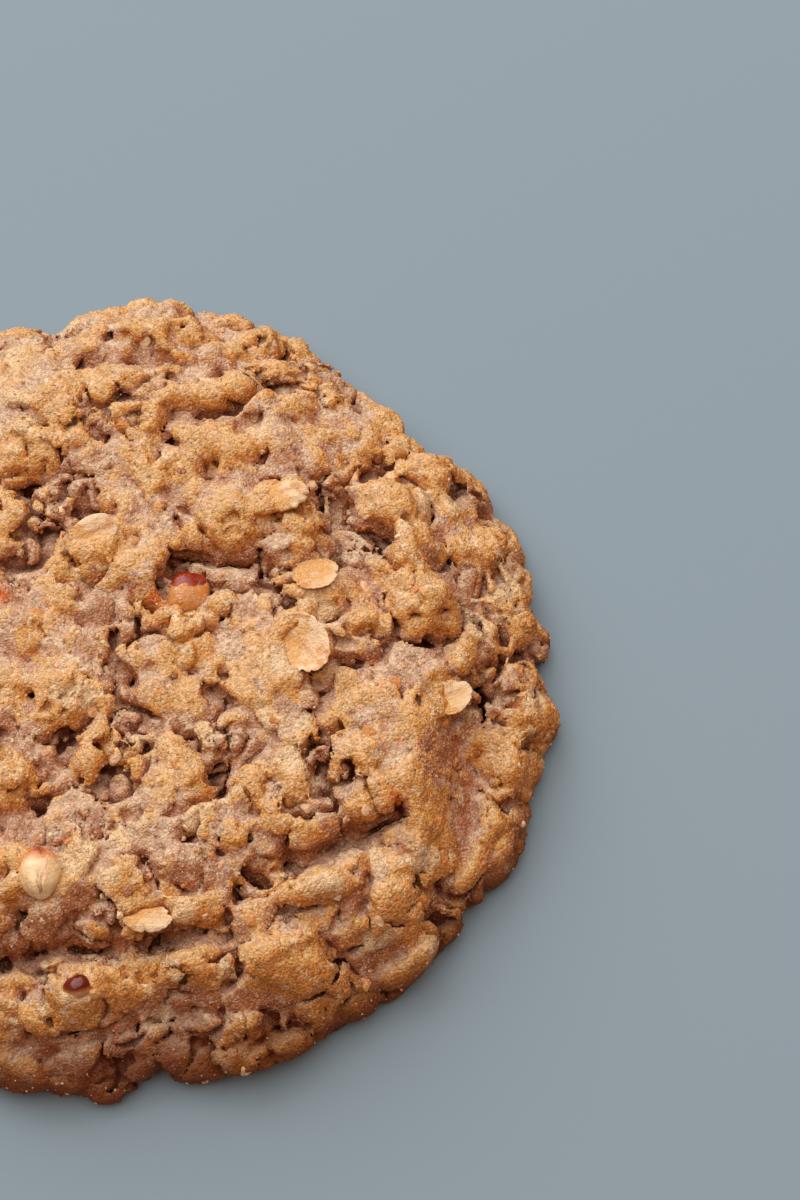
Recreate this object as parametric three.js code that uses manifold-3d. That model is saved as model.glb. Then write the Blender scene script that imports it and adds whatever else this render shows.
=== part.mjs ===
// A large banana oatmeal cookie, baked flat on a tray, with rolled oats and broken nuts on its top.
//
// Millimetres, +Z up. The origin is the middle of the flat base, which is the only face the cookie rests on.
// The dough is one solid. Its shape is a rule: two stacked pillows, the spread base and the thicker deck on
// it, are joined with lumps of dough, and cracks are taken out of them. A skin of triangles is then dropped
// on to that rule. The oat flakes and nuts that lie in the top are solids of their own, each in a pocket.

import * as THREE from "three";
import { mergeVertices } from "three/addons/utils/BufferGeometryUtils.js";
import Module from "manifold-3d";

// ---------------------------------------------------------------- driving sizes

const RADIUS = 50; // mean radius of the outline at the base
const BASE_HEIGHT = 12.4; // the spread dough
const BASE_SHOULDER = 22; // how far in from the outline the base begins to slope down
const DECK_HEIGHT = 14.6; // the thicker middle, which broke away from the base as it spread
const DECK_RADIUS = 40;
const DECK_SHOULDER = 8;
const DECK_JOIN = 5; // how softly the deck runs out into the base where no crack parts them
const SLOPE_POWER = 2.2; // 2 gives an elliptical shoulder, more gives a squarer one
const JOIN = 0.6; // how softly two lumps run into each other

const SKIN_RINGS = 30; // rings of triangles from the middle of the top to the base
const SKIN_START = 6; // how far outside the dough the skin is dropped from
const SKIN_STEP = 0.3;
const SKIN_FLAT = 36; // the skin is dropped straight down inside this radius, and turns outwards beyond it
const FOOT_INSET = 0.7; // the base's edge is a little rounded
const PROBE = 0.4; // how far apart the rule is read to find which way its surface faces

const LUMP_SEED = 27;
const LUMP_TRIES = 2600;
const LUMP_LARGEST = 6.4; // half-lengths of the random lumps
const LUMP_SMALLEST = 2.6;
const LUMP_SPACING = 0.6; // share of two lumps' half-lengths that lies between their middles

const GAP = 0.3; // air between a flake or nut and its pocket
const SMALLEST_EDGE = 0.12; // shorter edges, which a cut can leave, are closed up
const VALLEY_SOFTNESS = 1.6; // how gently a valley's sides turn over at its edges

// ---------------------------------------------------------------- shape features, placed in millimetres

// Where the outline departs from a circle: bearing and spread in degrees, change in millimetres.
const OUTLINE_LOBES = [
  [46, 14, -2.2], [41, 4, -0.6], [61, 5, -0.8], [88, 12, 2.6], [103, 9, -1.0], [9, 7, -0.6],
  [-14, 4, -0.9], [-44, 20, 1.0], [-40, 4, -0.7], [-73, 5, 0.2], [-83, 6, -2.0], [-97, 7, 1.2],
  [-122, 8, -0.9], [-150, 16, 1.1], [150, 14, 1.2], [178, 10, -1.6],
];
const DECK_LOBES = [
  [-60, 19, -6.4], [-90, 15, -2.4], [-22, 13, 3.4], [48, 20, -3.6], [96, 18, 3.2], [140, 16, -4.2],
  [176, 14, 3.6], [-150, 14, -3.8], [-118, 11, 2.4],
];

// The lumps that give this cookie its look: plan position, half-length, half-width, half-height, turn of the
// length in degrees, and how far the lump stands proud of the dough.
const MAIN_LUMPS = [
  { at: [31, 18.2], half: [5.4, 5.0, 3.6], turn: 20, proud: 2.0 },
  { at: [31.8, 7.8], half: [5.0, 3.0, 2.6], turn: 80, proud: 1.8 },
  { at: [35.2, 3.2], half: [5.6, 4.2, 3.0], turn: 25, proud: 1.4 },
  { at: [18.6, 17.2], half: [4.4, 3.4, 2.4], turn: 20, proud: 1.3 },
  { at: [-5, 10.5], half: [6.4, 4.2, 3.2], turn: 25, proud: 1.5 },
  { at: [22.8, -29.2], half: [5.6, 2.7, 2.4], turn: 14, proud: 2.9 },
  { at: [32.4, -29.6], half: [4.6, 3.6, 2.8], turn: 20, proud: 2.0 },
  { at: [36.6, -8.2], half: [5.2, 3.6, 2.6], turn: 20, proud: 1.4 },
  { at: [35.6, -24], half: [3.6, 5.4, 2.8], turn: 10, proud: 1.8 },
  { at: [10, 24.6], half: [6.2, 4.2, 2.8], turn: 5, proud: 1.1 },
  { at: [8.5, 32.2], half: [6.4, 2.6, 2.4], turn: 14, proud: 1.2 },
  { at: [19.6, -2.2], half: [6.0, 4.8, 3.0], turn: -25, proud: 1.2 },
  { at: [-1, -16], half: [4.4, 4.4, 3.0], turn: 0, proud: 1.4 },
  { at: [-12, -18.5], half: [5.6, 4.2, 3.0], turn: -20, proud: 1.4 },
  { at: [18.6, -38.4], half: [6.8, 4.2, 3.2], turn: 10, proud: 1.8 },
  { at: [9.6, -39], half: [4.6, 3.4, 2.8], turn: -10, proud: 1.6 },
  { at: [16.6, -46.4], half: [6.4, 2.8, 2.8], turn: 12, proud: 2.0 },
  { at: [-4.5, -43], half: [3.8, 4.2, 3.0], turn: 0, proud: 2.0 },
  { at: [42.6, -13.6], half: [3.6, 3.2, 2.6], turn: 0, proud: 1.8 },
  { at: [36.4, 23.6], half: [4.6, 3.4, 3.0], turn: 55, proud: 1.8 },
  { at: [-14, 23.5], half: [5.2, 4.0, 2.8], turn: 0, proud: 1.4 },
  { at: [7.6, -1.6], half: [3.4, 3.0, 2.4], turn: 30, proud: 1.3 },
  { at: [2.6, 42.4], half: [7.6, 3.6, 3.4], turn: 4, proud: 1.6 },
];

// Valleys are broad and soft. The plan route, half the width at the top, and the depth.
const VALLEYS = [
  { route: [[22, 31], [24.6, 26.4], [26, 20], [26.2, 12.6], [28.6, 5]], half: 2.0, deep: 2.6 },
  { route: [[41.4, -12], [41, -20], [38.8, -28], [34.4, -35], [28, -39]], half: 1.6, deep: 2.4 },
  { route: [[-18, -46], [-8, -47.2], [2, -45], [10, -43.4], [21, -42.6]], half: 1.5, deep: 2.4 },
  { route: [[-10, 38.4], [0, 37.6], [8, 36.8], [15, 37.2]], half: 1.6, deep: 1.6 },
];

// Cracks opened as the dough spread. Lean is how far the foot of a crack lies to the left of its mouth, going
// along the route, so that the dough on that side overhangs it.
const CRACKS = [
  { route: [[14.5, -30.2], [20, -28.2], [24.4, -26.4], [28.8, -24.4], [34, -21.2]], half: 1.1, deep: 4.6,
    lean: 1.4 },
  { route: [[-22, -41.4], [-13, -39.6], [-6, -38], [2, -37.8], [8, -36], [12.6, -34.6], [15, -29.8]],
    half: 1.6, deep: 5.4, lean: 1.6 },
  { route: [[28.6, 5], [31, 0.4], [35, -0.7], [39.2, -1.8], [41.2, -6], [41.4, -11.4]], half: 1.0, deep: 3.8,
    lean: 0.6 },
  { route: [[0, 16.4], [5.2, 14.8], [7.4, 9.6], [13.4, 9], [19.4, 8], [23, 4]], half: 0.9, deep: 2.8,
    lean: 0.4 },
  { route: [[-22, 20.6], [-15, 18.8], [-10.8, 21], [-10.4, 27.4]], half: 0.9, deep: 2.6, lean: 0.4 },
  { route: [[28.2, -25.6], [28.4, -28.6], [27.4, -33.4]], half: 0.7, deep: 2.6, lean: 0 },
  { route: [[5, -9.6], [4.6, -14], [5.2, -18], [4.4, -22.6]], half: 0.6, deep: 2.0, lean: 0.2 },
];
const CRACK_STATIONS = 4; // cross-sections for each leg of a crack's route
const CRACK_ABOVE = 3; // how far a crack's wedge of air reaches over the dough

// Rolled oats in the top: plan position, length, width, turn, and the tilt of the flake.
const FLAKES = [
  { name: "oat_flake_round", at: [22.2, 7], size: [5.8, 5.2], turn: 10, tilt: -14, lift: 0.5 },
  { name: "oat_flake_large", at: [20.6, -2.2], size: [9.0, 7.0], turn: -50, tilt: 8, lift: 0.3 },
  { name: "oat_flake_white", at: [18.4, 17], size: [6.4, 4.8], turn: 15, tilt: -10, lift: 0.5 },
  { name: "oat_flake_pale", at: [-4, 12], size: [6.2, 4.4], turn: 25, tilt: 6, lift: 0.25 },
  { name: "oat_flake_front", at: [4.2, -34.2], size: [6.0, 3.8], turn: -5, tilt: -18, lift: 0.6 },
  { name: "oat_flake_side", at: [37.8, -7.6], size: [5.8, 4.4], turn: 20, tilt: -8, lift: 0.4 },
];
const FLAKE_THICK = 1.1;

// Broken nuts: plan position, half-sizes, turn, and how far the middle stands over the dough.
const NUTS = [
  { name: "nut_skinned", at: [7.2, 5.4], half: [2.5, 3.0, 2.2], turn: -15, lift: 0.5 },
  { name: "nut_half", at: [-7.6, -30], half: [2.7, 3.5, 1.9], turn: 8, lift: 0.4 },
  { name: "nut_chip", at: [-3.2, -41.6], half: [1.7, 1.4, 1.2], turn: 30, lift: 0.5 },
];

// ---------------------------------------------------------------- chance and noise

const radians = THREE.MathUtils.degToRad;

// Equal seeds give equal rows of numbers from 0 to 1.
function chance(seed) {
  let state = seed >>> 0;
  return () => {
    state = (state + 0x6d2b79f5) >>> 0;
    let t = Math.imul(state ^ (state >>> 15), 1 | state);
    t = (t + Math.imul(t ^ (t >>> 7), 61 | t)) ^ t;
    return ((t ^ (t >>> 14)) >>> 0) / 2 ** 32;
  };
}

function latticeValue(ix, iy, iz, seed) {
  let h = Math.imul(ix, 374761393) + Math.imul(iy, 668265263) + Math.imul(iz, 1103515245);
  h = (h + Math.imul(seed, 974711)) | 0;
  h = Math.imul(h ^ (h >>> 13), 1274126177);
  return (((h ^ (h >>> 16)) >>> 0) / 2 ** 32) * 2 - 1;
}

// Smooth noise from -1 to 1 with one value for each unit cube.
function noise(x, y, z, seed) {
  const [ix, iy, iz] = [Math.floor(x), Math.floor(y), Math.floor(z)];
  const [u, v, w] = [x - ix, y - iy, z - iz].map((t) => t * t * (3 - 2 * t));
  let sum = 0;
  for (const i of [0, 1])
    for (const j of [0, 1])
      for (const k of [0, 1]) {
        const share = (i ? u : 1 - u) * (j ? v : 1 - v) * (k ? w : 1 - w);
        sum += share * latticeValue(ix + i, iy + j, iz + k, seed);
      }
  return sum;
}

// Moves a point a little this way and that, so that what is measured from it comes out uneven.
const WANDERS = [
  { wavelength: 7.5, reach: 1.0, seed: 11 },
  { wavelength: 3.1, reach: 0.45, seed: 21 },
];
function wander(p) {
  const moved = p.clone();
  for (const { wavelength, reach, seed } of WANDERS) {
    const [x, y, z] = [p.x / wavelength, p.y / wavelength, p.z / wavelength];
    moved.x += reach * noise(x, y, z, seed);
    moved.y += reach * noise(x, y, z, seed + 1);
    moved.z += reach * noise(x, y, z, seed + 2);
  }
  return moved;
}

// ---------------------------------------------------------------- the dough as a rule

// Every distance below is negative inside the dough.

function lobed(radius, lobes, bearing) {
  const degrees = THREE.MathUtils.radToDeg(bearing);
  return lobes.reduce((sum, [middle, spread, change]) => {
    const away = ((degrees - middle + 540) % 360) - 180;
    return sum + change * Math.exp(-((away / spread) ** 2));
  }, radius);
}

// A flat-topped pillow on the base plane, whose edge falls in a rounded shoulder.
function pillow(p, radius, lobes, shoulder, height) {
  const r = Math.hypot(p.x, p.y);
  const outer = lobed(radius, lobes, Math.atan2(p.y, p.x));
  const u = Math.max(0, r - (outer - shoulder)) / shoulder;
  const w = Math.max(0.02, p.z / height);
  const size = (u ** SLOPE_POWER + w ** SLOPE_POWER) ** (1 / SLOPE_POWER);
  const du = (u / size) ** (SLOPE_POWER - 1) / shoulder;
  const dw = (w / size) ** (SLOPE_POWER - 1) / height;
  return (size - 1) / Math.hypot(du, dw);
}

function blend(a, b, softness) {
  const near = Math.max(0, softness - Math.abs(a - b)) / softness;
  return Math.min(a, b) - (near * near * softness) / 4;
}

function core(p) {
  const base = pillow(p, RADIUS, OUTLINE_LOBES, BASE_SHOULDER, BASE_HEIGHT);
  const deck = pillow(p, DECK_RADIUS, DECK_LOBES, DECK_SHOULDER, DECK_HEIGHT);
  return blend(base, deck, DECK_JOIN);
}

// Goes from outside the dough along a straight way, and stops where the rule turns negative.
function drop(rule, start, way) {
  const p = start.clone();
  let outside = 0;
  while (rule(p) > 0 && outside < 3 * SKIN_START) {
    p.addScaledVector(way, SKIN_STEP);
    outside += SKIN_STEP;
  }
  let [low, high] = [-SKIN_STEP, 0];
  for (let i = 0; i < 12; i++) {
    const middle = (low + high) / 2;
    if (rule(p.clone().addScaledVector(way, middle)) > 0) low = middle;
    else high = middle;
  }
  return p.addScaledVector(way, high);
}

function normalOf(rule, p) {
  const n = ["x", "y", "z"].map((axis) => {
    const [a, b] = [p.clone(), p.clone()];
    a[axis] += PROBE;
    b[axis] -= PROBE;
    return rule(a) - rule(b);
  });
  return new THREE.Vector3(...n).normalize();
}

// A point outside the dough and the way in from it. Along is 0 in the middle of the top and 1 at the base.
function launch(bearing, along) {
  const outer = lobed(RADIUS, OUTLINE_LOBES, bearing);
  const bend = (Math.PI / 4) * (outer - SKIN_FLAT + BASE_HEIGHT);
  const arc = along * (SKIN_FLAT + bend);
  const turn = THREE.MathUtils.clamp((arc - SKIN_FLAT) / bend, 0, 1) * (Math.PI / 2);
  const r = Math.min(arc, SKIN_FLAT) + (outer - SKIN_FLAT) * Math.sin(turn);
  const [c, s] = [Math.cos(bearing), Math.sin(bearing)];
  const out = new THREE.Vector3(Math.sin(turn) * c, Math.sin(turn) * s, Math.cos(turn));
  const start = new THREE.Vector3(r * c, r * s, BASE_HEIGHT * Math.cos(turn));
  return { start: start.addScaledVector(out, SKIN_START), way: out.negate(), r };
}

// ---------------------------------------------------------------- lumps

// A lump is an ellipsoid lying in the dough's surface, turned about the surface's normal.
function makeLump(middle, normal, half, turn, proud) {
  const along = new THREE.Vector3(Math.cos(turn), Math.sin(turn), 0);
  along.addScaledVector(normal, -along.dot(normal)).normalize();
  const across = normal.clone().cross(along);
  const sunk = middle.clone().addScaledVector(normal, proud - half[2]);
  return { middle: sunk, axes: [along, across, normal], half, reach: Math.max(...half) + 2.5 };
}

function lumpDistance(lump, p) {
  const from = p.clone().sub(lump.middle);
  if (from.length() > lump.reach) return from.length() - lump.reach + 1.5;
  let [size, slope] = [0, 0];
  lump.axes.forEach((axis, i) => {
    const t = from.dot(axis) / lump.half[i];
    size += t * t;
    slope += (t / lump.half[i]) ** 2;
  });
  size = Math.sqrt(size);
  return (size * (size - 1)) / Math.max(1e-6, Math.sqrt(slope));
}

function mainLumps() {
  return MAIN_LUMPS.map(({ at, half, turn, proud }) => {
    const middle = heightOver(core, ...at);
    return makeLump(middle, normalOf(core, middle), half, radians(turn), proud + 0.7);
  });
}

// Smaller lumps fill the dough between the main ones, the largest first, as far apart as their sizes ask.
function randomLumps(placed) {
  const next = chance(LUMP_SEED);
  const lumps = [...placed];
  for (let i = 0; i < LUMP_TRIES; i++) {
    const [bearing, along, size, slim, spin, rise] = Array.from({ length: 6 }, next);
    const { start, way, r } = launch(bearing * 2 * Math.PI, along);
    const long = LUMP_SMALLEST + (LUMP_LARGEST - LUMP_SMALLEST) * (1 - i / LUMP_TRIES) * size;
    if (next() > r / RADIUS) continue;
    const middle = drop(core, start, way);
    const crowded = lumps.some(
      (other) => middle.distanceTo(other.middle) < LUMP_SPACING * (long + other.half[0]),
    );
    if (crowded || middle.z < 1.5) continue;
    const half = [long, long * (0.6 + 0.35 * slim), long * (0.42 + 0.2 * slim)];
    const proud = 0.4 + long * (0.14 + 0.34 * rise);
    lumps.push(makeLump(middle, normalOf(core, middle), half, spin * 2 * Math.PI, proud));
  }
  return lumps;
}

// ---------------------------------------------------------------- valleys

function distanceToRoute(x, y, route) {
  let nearest = Infinity;
  for (let i = 1; i < route.length; i++) {
    const [[ax, ay], [bx, by]] = [route[i - 1], route[i]];
    const [dx, dy] = [bx - ax, by - ay];
    const t = THREE.MathUtils.clamp(((x - ax) * dx + (y - ay) * dy) / (dx * dx + dy * dy), 0, 1);
    nearest = Math.min(nearest, Math.hypot(x - ax - t * dx, y - ay - t * dy));
  }
  return nearest;
}

// The air in a valley: a wedge that is widest at the top and closes at its depth.
function valleyDistance({ route, half, deep, top }, p) {
  return distanceToRoute(p.x, p.y, route) - half * (1 - (top - p.z) / deep);
}

function heightOver(rule, x, y) {
  const above = new THREE.Vector3(x, y, DECK_HEIGHT + SKIN_START);
  return drop(rule, above, new THREE.Vector3(0, 0, -1));
}

const lumps = randomLumps(mainLumps());
const valleys = VALLEYS.map((valley) => {
  const [x, y] = valley.route[Math.floor(valley.route.length / 2)];
  return { ...valley, top: heightOver(core, x, y).z + 0.8 };
});

function dough(p) {
  const moved = wander(p);
  let d = core(moved);
  for (const lump of lumps) d = blend(d, lumpDistance(lump, moved), JOIN);
  for (const valley of valleys) d = -blend(-d, valleyDistance(valley, moved), VALLEY_SOFTNESS);
  return Math.max(d, -p.z);
}

// ---------------------------------------------------------------- the skin

function meshFrom(points, faces) {
  const positions = new Float32Array(points.flatMap((p) => p.toArray()));
  const geometry = new THREE.BufferGeometry();
  geometry.setAttribute("position", new THREE.BufferAttribute(positions, 3));
  geometry.setIndex(faces);
  return geometry;
}

// Ring k has 6k points, so the triangles stay about equal from the middle to the edge. The last ring is the
// foot, a little inside the one above it, and a fan closes the flat base.
function skinGeometry() {
  const points = [heightOver(dough, 0, 0)];
  const firstOf = (k) => (k === 0 ? 0 : 3 * k * (k - 1) + 1);
  for (let k = 1; k <= SKIN_RINGS; k++)
    for (let j = 0; j < 6 * k; j++) {
      const bearing = (2 * Math.PI * j) / (6 * k);
      const { start, way } = launch(bearing, k / SKIN_RINGS);
      const p = drop(dough, start, way);
      if (k === SKIN_RINGS) {
        p.x -= FOOT_INSET * Math.cos(bearing);
        p.y -= FOOT_INSET * Math.sin(bearing);
        p.z = 0;
      }
      points.push(p);
    }
  const faces = [];
  for (let k = 1; k <= SKIN_RINGS; k++)
    for (let side = 0; side < 6; side++)
      for (let j = 0; j < k; j++) {
        const outer = (i) => firstOf(k) + ((side * k + i) % (6 * k));
        const inner = (i) => firstOf(k - 1) + (k === 1 ? 0 : (side * (k - 1) + i) % (6 * (k - 1)));
        faces.push(outer(j), outer(j + 1), inner(j));
        if (j < k - 1) faces.push(outer(j + 1), inner(j + 1), inner(j));
      }
  const foot = points.push(new THREE.Vector3(0, 0, 0)) - 1;
  const rim = 6 * SKIN_RINGS;
  for (let j = 0; j < rim; j++)
    faces.push(firstOf(SKIN_RINGS) + ((j + 1) % rim), firstOf(SKIN_RINGS) + j, foot);
  return meshFrom(points, faces);
}

// ---------------------------------------------------------------- oats and nuts

function reshape(geometry, change) {
  const position = geometry.getAttribute("position");
  for (let i = 0; i < position.count; i++) {
    const p = change(new THREE.Vector3().fromBufferAttribute(position, i));
    position.setXYZ(i, p.x, p.y, p.z);
  }
  return geometry;
}

// A rolled oat: an oval disc with a rounded edge, a little dished. Swell makes its pocket.
function flakeGeometry([length, width], swell) {
  const half = FLAKE_THICK / 2 + swell;
  const profile = [[0, -half], [0.55, -half], [0.88, -0.7 * half], [1, 0], [0.88, 0.7 * half], [0.5, half]];
  const points = [...profile.map(([r, y]) => new THREE.Vector2(r, y)), new THREE.Vector2(0, half)];
  const disc = new THREE.LatheGeometry(points, 12).rotateX(Math.PI / 2);
  const dish = 0.5;
  return reshape(disc, ({ x, y, z }) => {
    const r2 = x * x + y * y;
    return new THREE.Vector3(x * (length / 2 + swell), y * (width / 2 + swell), z + dish * (r2 - 0.4));
  });
}

// A nut: an egg with a shallow cleft along its length on the upper side.
function nutGeometry([a, b, c], swell) {
  const egg = new THREE.SphereGeometry(1, 12, 8).rotateX(Math.PI / 2);
  return reshape(egg, ({ x, y, z }) => {
    const cleft = z > 0 ? 0.16 * Math.exp(-((x / 0.22) ** 2)) : 0;
    const taper = 1 - 0.16 * y;
    return new THREE.Vector3(x * taper * (a + swell), y * (b + swell), z * (1 - cleft) * (c + swell));
  });
}

// Lays a piece in the top of the dough, square to the surface there, then turned and tilted.
function layIn({ at, turn, tilt = 0, lift }) {
  const middle = heightOver(dough, ...at);
  const normal = normalOf(core, middle).add(new THREE.Vector3(0, 0, 2)).normalize();
  const square = new THREE.Quaternion().setFromUnitVectors(new THREE.Vector3(0, 0, 1), normal);
  const own = new THREE.Quaternion().setFromEuler(new THREE.Euler(radians(tilt), 0, radians(turn), "ZXY"));
  middle.z += lift;
  return new THREE.Matrix4().compose(middle, square.multiply(own), new THREE.Vector3(1, 1, 1));
}

// ---------------------------------------------------------------- cracks

// The air in a crack: a wedge swept along the route, which closes to nothing at both ends.
function crackGeometry({ route, half, deep, lean }) {
  const curve = new THREE.CatmullRomCurve3(route.map(([x, y]) => new THREE.Vector3(x, y, 0)));
  const last = CRACK_STATIONS * (route.length - 1);
  const points = [];
  for (let i = 0; i <= last; i++) {
    const { x, y } = curve.getPoint(i / last);
    const tangent = curve.getTangent(i / last);
    const left = new THREE.Vector3(-tangent.y, tangent.x, 0);
    const open = Math.max(0.04, Math.sin((Math.PI * i) / last)) ** 0.5;
    const ragged = 1 + 0.35 * noise(x / 1.7, y / 1.7, 0, 31);
    const mouth = heightOver(dough, x, y);
    const wide = (half * open * ragged * (deep + CRACK_ABOVE)) / deep;
    const up = mouth.z + CRACK_ABOVE;
    points.push(
      new THREE.Vector3(x, y, up).addScaledVector(left, wide),
      new THREE.Vector3(x, y, mouth.z - deep * open).addScaledVector(left, lean * open),
      new THREE.Vector3(x, y, up).addScaledVector(left, -wide),
    );
  }
  const faces = [0, 1, 2, 3 * last, 3 * last + 2, 3 * last + 1];
  for (let i = 0; i < last; i++)
    for (let side = 0; side < 3; side++) {
      const [a, b] = [3 * i + side, 3 * i + ((side + 1) % 3)];
      faces.push(a, a + 3, b, b, a + 3, b + 3);
    }
  return meshFrom(points, faces);
}

// ---------------------------------------------------------------- cutting

const wasm = await Module();
wasm.setup();

function solidFrom(geometry) {
  const bare = geometry.clone();
  bare.deleteAttribute("normal");
  bare.deleteAttribute("uv");
  const merged = mergeVertices(bare, 1e-3);
  return new wasm.Manifold(new wasm.Mesh({
    numProp: 3,
    vertProperties: new Float32Array(merged.getAttribute("position").array),
    triVerts: new Uint32Array(merged.index.array),
  }));
}

function geometryFrom(solid) {
  const mesh = solid.getMesh();
  const geometry = new THREE.BufferGeometry();
  geometry.setAttribute("position", new THREE.BufferAttribute(mesh.vertProperties, 3));
  geometry.setIndex(new THREE.BufferAttribute(mesh.triVerts, 1));
  return geometry;
}

// A cut can free a crumb of dough, or leave one hanging by a single point, so only the largest body is kept.
function cutAway(geometry, cutters) {
  const cut = cutters.reduce((solid, cutter) => solid.subtract(solidFrom(cutter)), solidFrom(geometry));
  const rounded = solidFrom(geometryFrom(cut.simplify(SMALLEST_EDGE)));
  const [largest] = rounded.decompose().sort((a, b) => b.volume() - a.volume());
  return geometryFrom(largest);
}

// ---------------------------------------------------------------- materials and assembly

const doughFinish = new THREE.MeshStandardMaterial({ color: 0xc08a58, roughness: 0.85, metalness: 0 });
const oatFinish = new THREE.MeshStandardMaterial({ color: 0xe0bd8c, roughness: 0.7, metalness: 0 });
const nutFinish = new THREE.MeshStandardMaterial({ color: 0xcf9c63, roughness: 0.45, metalness: 0 });

const oats = FLAKES.map((flake) => ({
  ...flake, finish: oatFinish, shape: (swell) => flakeGeometry(flake.size, swell),
}));
const nuts = NUTS.map((nut) => ({
  ...nut, finish: nutFinish, shape: (swell) => nutGeometry(nut.half, swell),
}));

const cookie = new THREE.Group();
const cutters = CRACKS.map(crackGeometry);
for (const piece of [...oats, ...nuts]) {
  const place = layIn(piece);
  const mesh = new THREE.Mesh(piece.shape(0).applyMatrix4(place), piece.finish);
  mesh.name = piece.name;
  cookie.add(mesh);
  cutters.push(piece.shape(GAP).applyMatrix4(place));
}
const body = new THREE.Mesh(cutAway(skinGeometry(), cutters), doughFinish);
body.name = "dough";
cookie.add(body);

// The middle of the base's bounding box is the origin.
const box = new THREE.Box3().setFromObject(cookie);
const centre = box.getCenter(new THREE.Vector3());
cookie.children.forEach((mesh) => mesh.geometry.translate(-centre.x, -centre.y, -box.min.z));

export default cookie;
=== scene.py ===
# %% [markdown]
# # A banana oatmeal cookie
#
# A large oatmeal cookie is a disc of soft dough that was dropped on a tray in one lump. In the oven it
# spreads, its thicker middle breaks away from the edge, and the rolled oats and nuts in it push the top up
# into lumps with dark gaps between them. This lesson models that: first the dough as one body, then the oats
# and nuts that lie in it, then what is finer, such as crumbs and sugar.

# %% The frame, and the sizes that everything starts from
import math

import bpy
import numpy as np
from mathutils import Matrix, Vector


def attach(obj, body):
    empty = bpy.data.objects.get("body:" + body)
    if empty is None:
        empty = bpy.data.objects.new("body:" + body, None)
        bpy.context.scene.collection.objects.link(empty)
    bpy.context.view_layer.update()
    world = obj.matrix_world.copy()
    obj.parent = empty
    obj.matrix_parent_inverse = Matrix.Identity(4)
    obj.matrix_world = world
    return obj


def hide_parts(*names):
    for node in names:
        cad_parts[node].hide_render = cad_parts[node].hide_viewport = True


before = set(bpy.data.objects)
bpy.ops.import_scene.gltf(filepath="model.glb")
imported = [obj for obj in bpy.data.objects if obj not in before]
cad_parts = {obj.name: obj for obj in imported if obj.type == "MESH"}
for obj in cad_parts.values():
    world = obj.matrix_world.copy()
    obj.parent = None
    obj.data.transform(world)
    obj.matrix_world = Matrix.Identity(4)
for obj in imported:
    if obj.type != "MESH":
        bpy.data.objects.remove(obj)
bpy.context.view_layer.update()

MM = 0.001

# %% [markdown]
# ## Camera, floor and light
#
# The camera looks steeply down on the cookie from the front, through a 70 mm lens. The light is that of a
# window behind the cookie's left shoulder: a panel for the window, and a larger and stronger one for the sky
# over it, both nearly white. They leave the front rim in shade. The room round them gives a weak, warm light
# from all sides, so that the gaps don't go black.

# %% Camera
PITCH = math.radians(64.6)  # below the horizon
STANDS_AT = Vector((31.1, -113.0, 261.8)) * MM
camera_data = bpy.data.cameras.new("camera")
camera_data.lens = 70
camera_data.sensor_width = 36
camera_data.clip_start = 0.01
camera = bpy.data.objects.new("camera", camera_data)
camera.location = STANDS_AT
camera.rotation_euler = (math.pi / 2 - PITCH, 0, 0)
bpy.context.scene.collection.objects.link(camera)
bpy.context.scene.camera = camera
bpy.context.scene.view_settings.view_transform = "Standard"


# %% Floor and backdrop colour
def linear(red, green, blue):
    """A colour picked on a screen, from 0 to 255, as the linear values that shaders work in."""
    def channel(v):
        v = v / 255
        return v / 12.92 if v <= 0.04045 else ((v + 0.055) / 1.055) ** 2.4
    return (channel(red), channel(green), channel(blue), 1.0)


FLOOR_HALF = 12  # half its width in metres, so that its far edge lies beyond every view
FLOOR_COLOUR = linear(139, 160, 174)
floor_corners = [(x * FLOOR_HALF, y * FLOOR_HALF, 0) for x, y in ((-1, -1), (1, -1), (1, 1), (-1, 1))]
floor_mesh = bpy.data.meshes.new("floor")
floor_mesh.from_pydata(floor_corners, [], [(0, 1, 2, 3)])
floor = bpy.data.objects.new("floor", floor_mesh)
bpy.context.scene.collection.objects.link(floor)
floor_paint = bpy.data.materials.new("floor paint")
floor_paint.use_nodes = True
floor_shader = floor_paint.node_tree.nodes["Principled BSDF"]
floor_shader.inputs["Base Color"].default_value = FLOOR_COLOUR
floor_shader.inputs["Roughness"].default_value = 0.9
floor_shader.inputs["Specular IOR Level"].default_value = 0.2
floor_mesh.materials.append(floor_paint)


# %% Light
def panel(name, place, size, power, colour):
    """A square lamp that faces the cookie. Its place and size are in metres."""
    data = bpy.data.lights.new(name, "AREA")
    data.shape = "SQUARE"
    data.size = size
    data.energy = power
    data.color = colour
    lamp = bpy.data.objects.new(name, data)
    lamp.location = place
    lamp.rotation_euler = (-Vector(place)).to_track_quat("-Z", "Y").to_euler()
    bpy.context.scene.collection.objects.link(lamp)


DAYLIGHT = (1.0, 0.99, 0.97)
ROOM_LIGHT = (1.0, 0.50, 0.25, 1.0)
ROOM_STRENGTH = 0.27
panel("window", place=(-0.38, 0.66, 0.60), size=0.9, power=3.4, colour=DAYLIGHT)
panel("sky", place=(-0.15, 0.40, 0.95), size=2.0, power=18.0, colour=DAYLIGHT)
world = bpy.data.worlds.new("room")
world.use_nodes = True
background = world.node_tree.nodes["Background"]
background.inputs["Color"].default_value = ROOM_LIGHT
background.inputs["Strength"].default_value = ROOM_STRENGTH
bpy.context.scene.world = world
print("two lamps and the room's light")

# %% [markdown]
# ## Chance and noise
#
# The solids were made by a rule, and the fine dough follows the same rule, so it lands on them. Its chance is
# a small counter that always gives the same numbers, and its noise is a fixed value at each corner of a
# lattice of cubes, smoothed between them. On a regular grid of points the smoothing can be done along x,
# then y, then z, which is far quicker than point by point.

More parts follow.
